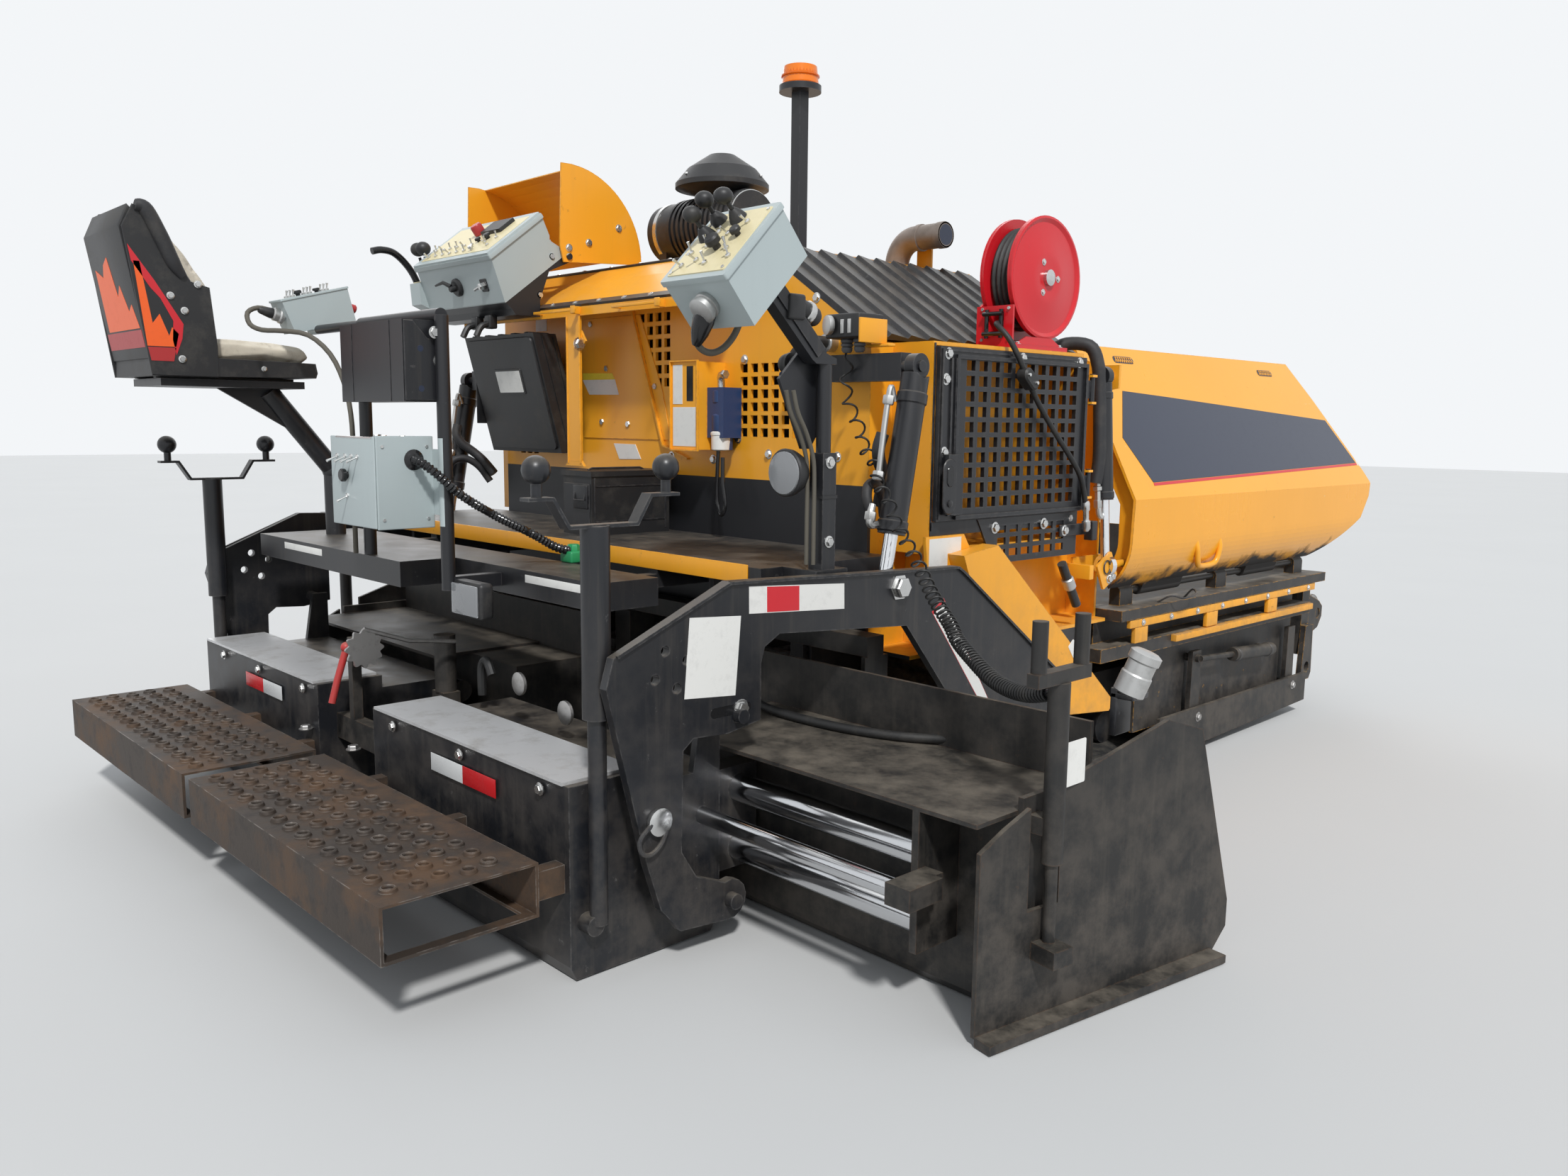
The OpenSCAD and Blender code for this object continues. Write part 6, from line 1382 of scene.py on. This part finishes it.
class PAVER_OT_screed_trim(bpy.types.Operator):
    """Lozenges and tape of the tread covers, hooded grips and hinge bolts of the walk boards, motors, sprocket and lamp"""
    bl_idname = "paver.screed_trim"
    bl_label = "Screed Trim"

    def execute(self, context):
        s = context.scene.paver_trim
        long, wide = s.lozenge, 0.30 * s.lozenge
        x, y = np.meshgrid(np.arange(0.290, 1.150, 0.033), np.arange(0.012, 0.185, 0.033), indexing="ij")
        lean = np.where((np.indices(x.shape).sum(0)) % 2 == 0, 1.0, -1.0) * math.radians(45)
        spots = np.stack([x, y, lean], -1).reshape(-1, 3)
        shape = np.array([(0.5 * long, 0), (0, 0.5 * wide), (-0.5 * long, 0), (0, -0.5 * wide)])

        def lozenge(cx, cy, a, high):
            spin = np.array([[math.cos(a), math.sin(a)], [-math.sin(a), math.cos(a)]])
            foot, crown = shape @ spin + (cx, cy), 0.6 * shape @ spin + (cx, cy)
            return np.stack([np.column_stack([foot, np.full(4, high - 0.001)]),
                    np.column_stack([foot, np.full(4, high + 0.0004)]),
                    np.column_stack([crown, np.full(4, high + 0.0018)])])

        raised = [lozenge(sx * cx, cy, sx * a, 0.4820) for sx in (1, -1) for cx, cy, a in spots if sx > 0 or cx < 1.09]
        tape = lambda x0, x1: block((x0, -0.0075, 0.378), (x1, -0.0055, 0.426), 0.0004)
        red = [tape(0.737, 0.902), tape(-0.805, -0.643)]
        white = [tape(0.566, 0.737), tape(-0.643, -0.481)]
        lips = bolts([(-0.683, -0.006, 0.452), (0.722, -0.006, 0.452), (1.107, -0.006, 0.452), (-1.02, -0.006, 0.452),
                (0.34, -0.006, 0.452), (-0.30, -0.006, 0.452)], BACK, s.bolt, 0.009)
        # the raised lozenges take a brighter colour, a painted highlight
        make("cover_tread", "screed", ("lozenge_painted_highlight", raised), ("tape_red", red), ("tape_white", white),
            ("bright_steel", lips), slot="tread_aluminium")
        # hooded grips of the walk boards: a short raised tube at each hole
        x, y = np.meshgrid(np.arange(0.085, 1.200, 0.0755), np.arange(-0.405, -0.110, 0.060), indexing="ij")
        x = x + 0.018 * (np.indices(x.shape)[1] % 2)
        r = s.grip
        ring = [(r, 0.0), (r * 0.88, 0.008), (r * 0.70, 0.010), (r * 0.58, 0.007), (r * 0.55, -0.001)]
        grips = [lathe(ring, (cx, cy, 0.3195), UP, 12) for cx, cy in np.stack([x, y], -1).reshape(-1, 2)]
        make("board_grips", "screed", ("rusty_grating", mirrored(grips)),
            ("bare_steel", bolts([(-0.254, -0.02, 0.330), (0.101, -0.02, 0.338)], UP, 0.016, 0.012)),
            slot="rusty_grating")
        faces = [lathe([(0.030, 0), (0.034, 0.004), (0.034, 0.012), (0.026, 0.016)], p, BACK, 18)
            for p in ((0.523, 0.302, 0.563), (0.761, 0.302, 0.522))]
        teeth = np.linspace(0, TURN, 72, endpoint=False)
        wheel = [
            np.array([[(cx, 0.075 + (0.056 + 0.006 * math.cos(12 * a)) * math.cos(a),
                        0.615 + (0.056 + 0.006 * math.cos(12 * a)) * math.sin(a)) for a in teeth]
                    for cx in (-0.016, -0.006)])]
        chain = [rod([(-0.011, 0.075, 0.615 + 0.060), (-0.011, 0.22, 0.622), (-0.011, 0.380, 0.600)], 0.007, 6)]
        lever = [rod([(-0.090, 0.050, 0.600), (-0.090, 0.020, 0.510), (-0.090, 0.000, 0.440)], 0.011, 12),
            ball((-0.090, 0.052, 0.610), 0.017, 14)]
        lamp = [block((0.318, 0.196, 0.756), (0.464, 0.204, 0.846), 0.010), block((0.310, 0.204, 0.748),
                (0.472, 0.250, 0.854), 0.012)]
        rod_end = [rod([(0.30, 0.300, 0.49), (0.30, 0.300, 0.575), (0.33, 0.300, 0.600), (0.36, 0.300, 0.560)], 0.013,
                10, 14)]
        make("screed_drives", "screed", ("bare_steel", [*faces, *wheel, *chain]), ("worn_red", lever),
            ("hose_rubber", rod_end), slot="bare_steel")
        make("screed_lamp", "screed", ("lamp_glass", lamp[:1]), ("black_plastic", lamp[1:]), slot="black_plastic")
        return {"FINISHED"}


class PAVER_OT_tow_arm_trim(bpy.types.Operator):
    """Blank labels, slot, nuts, lift bolt, boss, lifting ring and flanges of the tow arms"""
    bl_idname = "paver.tow_arm_trim"
    bl_label = "Tow Arm Trim"

    def execute(self, context):
        s = context.scene.paver_trim
        x = 1.3195
        white = [plate([(0.277, 0.860), (0.439, 0.848), (0.422, 0.651), (0.261, 0.666)], 0, x - 0.001, x + s.label,
                0.0003)]
        notice = [(0.465, 0.9185), (0.806, 0.8965), (0.808, 0.828), (0.466, 0.850)]
        white += [plate(notice, 0, x - 0.001, x + s.label, 0.0003)]
        warn = [plate([(0.525, 0.9125), (0.638, 0.905), (0.639, 0.841), (0.526, 0.848)], 0, x - 0.001,
                x + 1.4 * s.label, 0.0003)]
        slope = np.array([(1.236, 0.806), (1.186, 0.772), (1.431, 0.466), (1.480, 0.455)])
        band = [plate(slope, 0, x - 0.001, x + s.label, 0.0003)]
        middle = slope.mean(0)
        edge = [plate(middle + 1.06 * (slope - middle), 0, x - 0.001, x + 0.6 * s.label, 0.0003)]
        # the slot is a flat dark oval: painted shade of the opening
        slot_shade = [plate(oval(0.133, 0.026) + (0.4085, 0.616), 0, x - 0.001, x + 0.0009, 0.0003)]
        nuts = bolts([(1.3200, 0.441, 0.616)], RIGHT, 0.017, 0.014)
        lift = [lathe([(0.038, 0), (0.038, 0.004), (0.030, 0.005), (0.030, 0.020), (0.026, 0.024)],
                (1.3200, 1.030, 0.866), RIGHT, 6)]
        boss = [lathe([(0.032, 0), (0.034, 0.003), (0.034, 0.014), (0.026, 0.018)], (1.3200, 0.180, 0.385), RIGHT, 20)]
        ring = [rod([(1.332, 0.180 + a, 0.385 - b) for a, b in ((-0.026, 0.0), (-0.060, 0.030), (-0.055, 0.062),
                        (-0.030, 0.072), (0.0, 0.055), (0.020, 0.020))], 0.006, 8, 24)]
        flange = [ribbon([(0.400, 0.9285), (1.290, 0.8985), (1.320, 0.880), (1.895, 0.470)], 0, (1.3195, 1.3285),
                0.007), ribbon([(0.066, 0.790), (0.400, 0.9285)], 0, (1.3195, 1.3285), 0.007)]
        arm_black = [*ring, *flange]
        make("tow_arm_trim", "screed", ("tow_paint", mirrored(arm_black)), ("white_label", mirrored([*white, *band])),
            ("red_line", mirrored([*edge, *warn])), ("black_gloss", mirrored(slot_shade)),
            ("bright_steel", mirrored([*nuts, *lift, *boss])), slot="black_paint")
        lean = unit([0.30, 0.20, 0.93])
        motor = [lathe([(0.030, 0), (0.037, 0.004), (0.037, 0.050), (0.034, 0.054), (0.034, 0.082), (0.038, 0.086),
                    (0.038, 0.104), (0.028, 0.110)], (2.066, 0.985, 0.700), lean, 24)]
        perch = [block((2.035, 0.960, 0.600), (2.052, 1.030, 0.715), 0.003), block((2.035, 0.960, 0.690),
                (2.095, 1.030, 0.704), 0.003)]
        make("gate_motor", "extension_right", ("cast_silver", motor), ("tow_paint", perch), slot="black_paint")
        make("gate_label", "end_gate_right",
            ("white_label", [plate(turned(rounded_rect(0.075, 0.100, 0.004), 0, (0.735, 0.590)), 0, 2.0905, 2.0925,
                        0.0003)]), slot="black_paint")
        return {"FINISHED"}


class PAVER_OT_deck_trim(bpy.types.Operator):
    """Nosing of the platform, its blank labels and work lamps"""
    bl_idname = "paver.deck_trim"
    bl_label = "Deck Trim"

    def execute(self, context):
        nose = [block((-1.10, 0.6565, 0.884), (1.10, 0.6605, 0.936), 0.0012)]
        white = [block((x0, y - 0.0012, 0.8445), (x1, y + 0.001, 0.8675), 0.0005) for x0, x1,
            y in ((-0.884, -0.557, 0.180), (0.451, 0.790, 0.365))]
        lamps, glass = [], []
        for side in (1, -1):
            c = np.array([side * 1.200, 0.695, 1.187])
            lamps += [lathe([(0.030, 0.052), (0.050, 0.045), (0.062, 0.020), (0.064, 0.004), (0.060, 0.0)], c, AHEAD,
                    28)]
            glass += [lathe([(0.058, 0.004), (0.056, -0.004), (0.030, -0.009), (0.002, -0.010)], c, AHEAD, 28)]
        make("deck_nosing", "chassis", ("yellow_paint", nose), ("white_label", white), slot="yellow_paint")
        make("work_lamps", "chassis", ("black_plastic", lamps), ("lamp_glass", glass), slot="black_plastic")
        return {"FINISHED"}


CLASSES = [PaverStageSettings, PaverTrimSettings, PAVER_OT_stage, PAVER_OT_finishes, PAVER_OT_hoses, PAVER_OT_seat,
    PAVER_OT_main_console, PAVER_OT_side_console, PAVER_OT_rail, PAVER_OT_body_trim, PAVER_OT_radiator_trim,
    PAVER_OT_reel_trim, PAVER_OT_hopper_trim, PAVER_OT_screed_trim, PAVER_OT_tow_arm_trim, PAVER_OT_deck_trim]


class PAVER_PT_panel(bpy.types.Panel):
    """Lists the steps that dress the paver"""
    bl_idname = "PAVER_PT_panel"
    bl_label = "Asphalt Paver"
    bl_space_type = "VIEW_3D"
    bl_region_type = "UI"
    bl_category = "Paver"

    def draw(self, context):
        for step in CLASSES:
            if issubclass(step, bpy.types.Operator):
                self.layout.operator(step.bl_idname)


def register():
    for c in [*CLASSES, PAVER_PT_panel]:
        bpy.utils.register_class(c)
    bpy.types.Scene.paver_stage = bpy.props.PointerProperty(type=PaverStageSettings)
    bpy.types.Scene.paver_trim = bpy.props.PointerProperty(type=PaverTrimSettings)


def unregister():
    del bpy.types.Scene.paver_trim
    del bpy.types.Scene.paver_stage
    for c in reversed([*CLASSES, PAVER_PT_panel]):
        bpy.utils.unregister_class(c)


def main():
    register()
    for step in CLASSES:
        if issubclass(step, bpy.types.Operator):
            group, name = step.bl_idname.split(".")
            getattr(getattr(bpy.ops, group), name)()


if __name__ == "__main__":
    main()
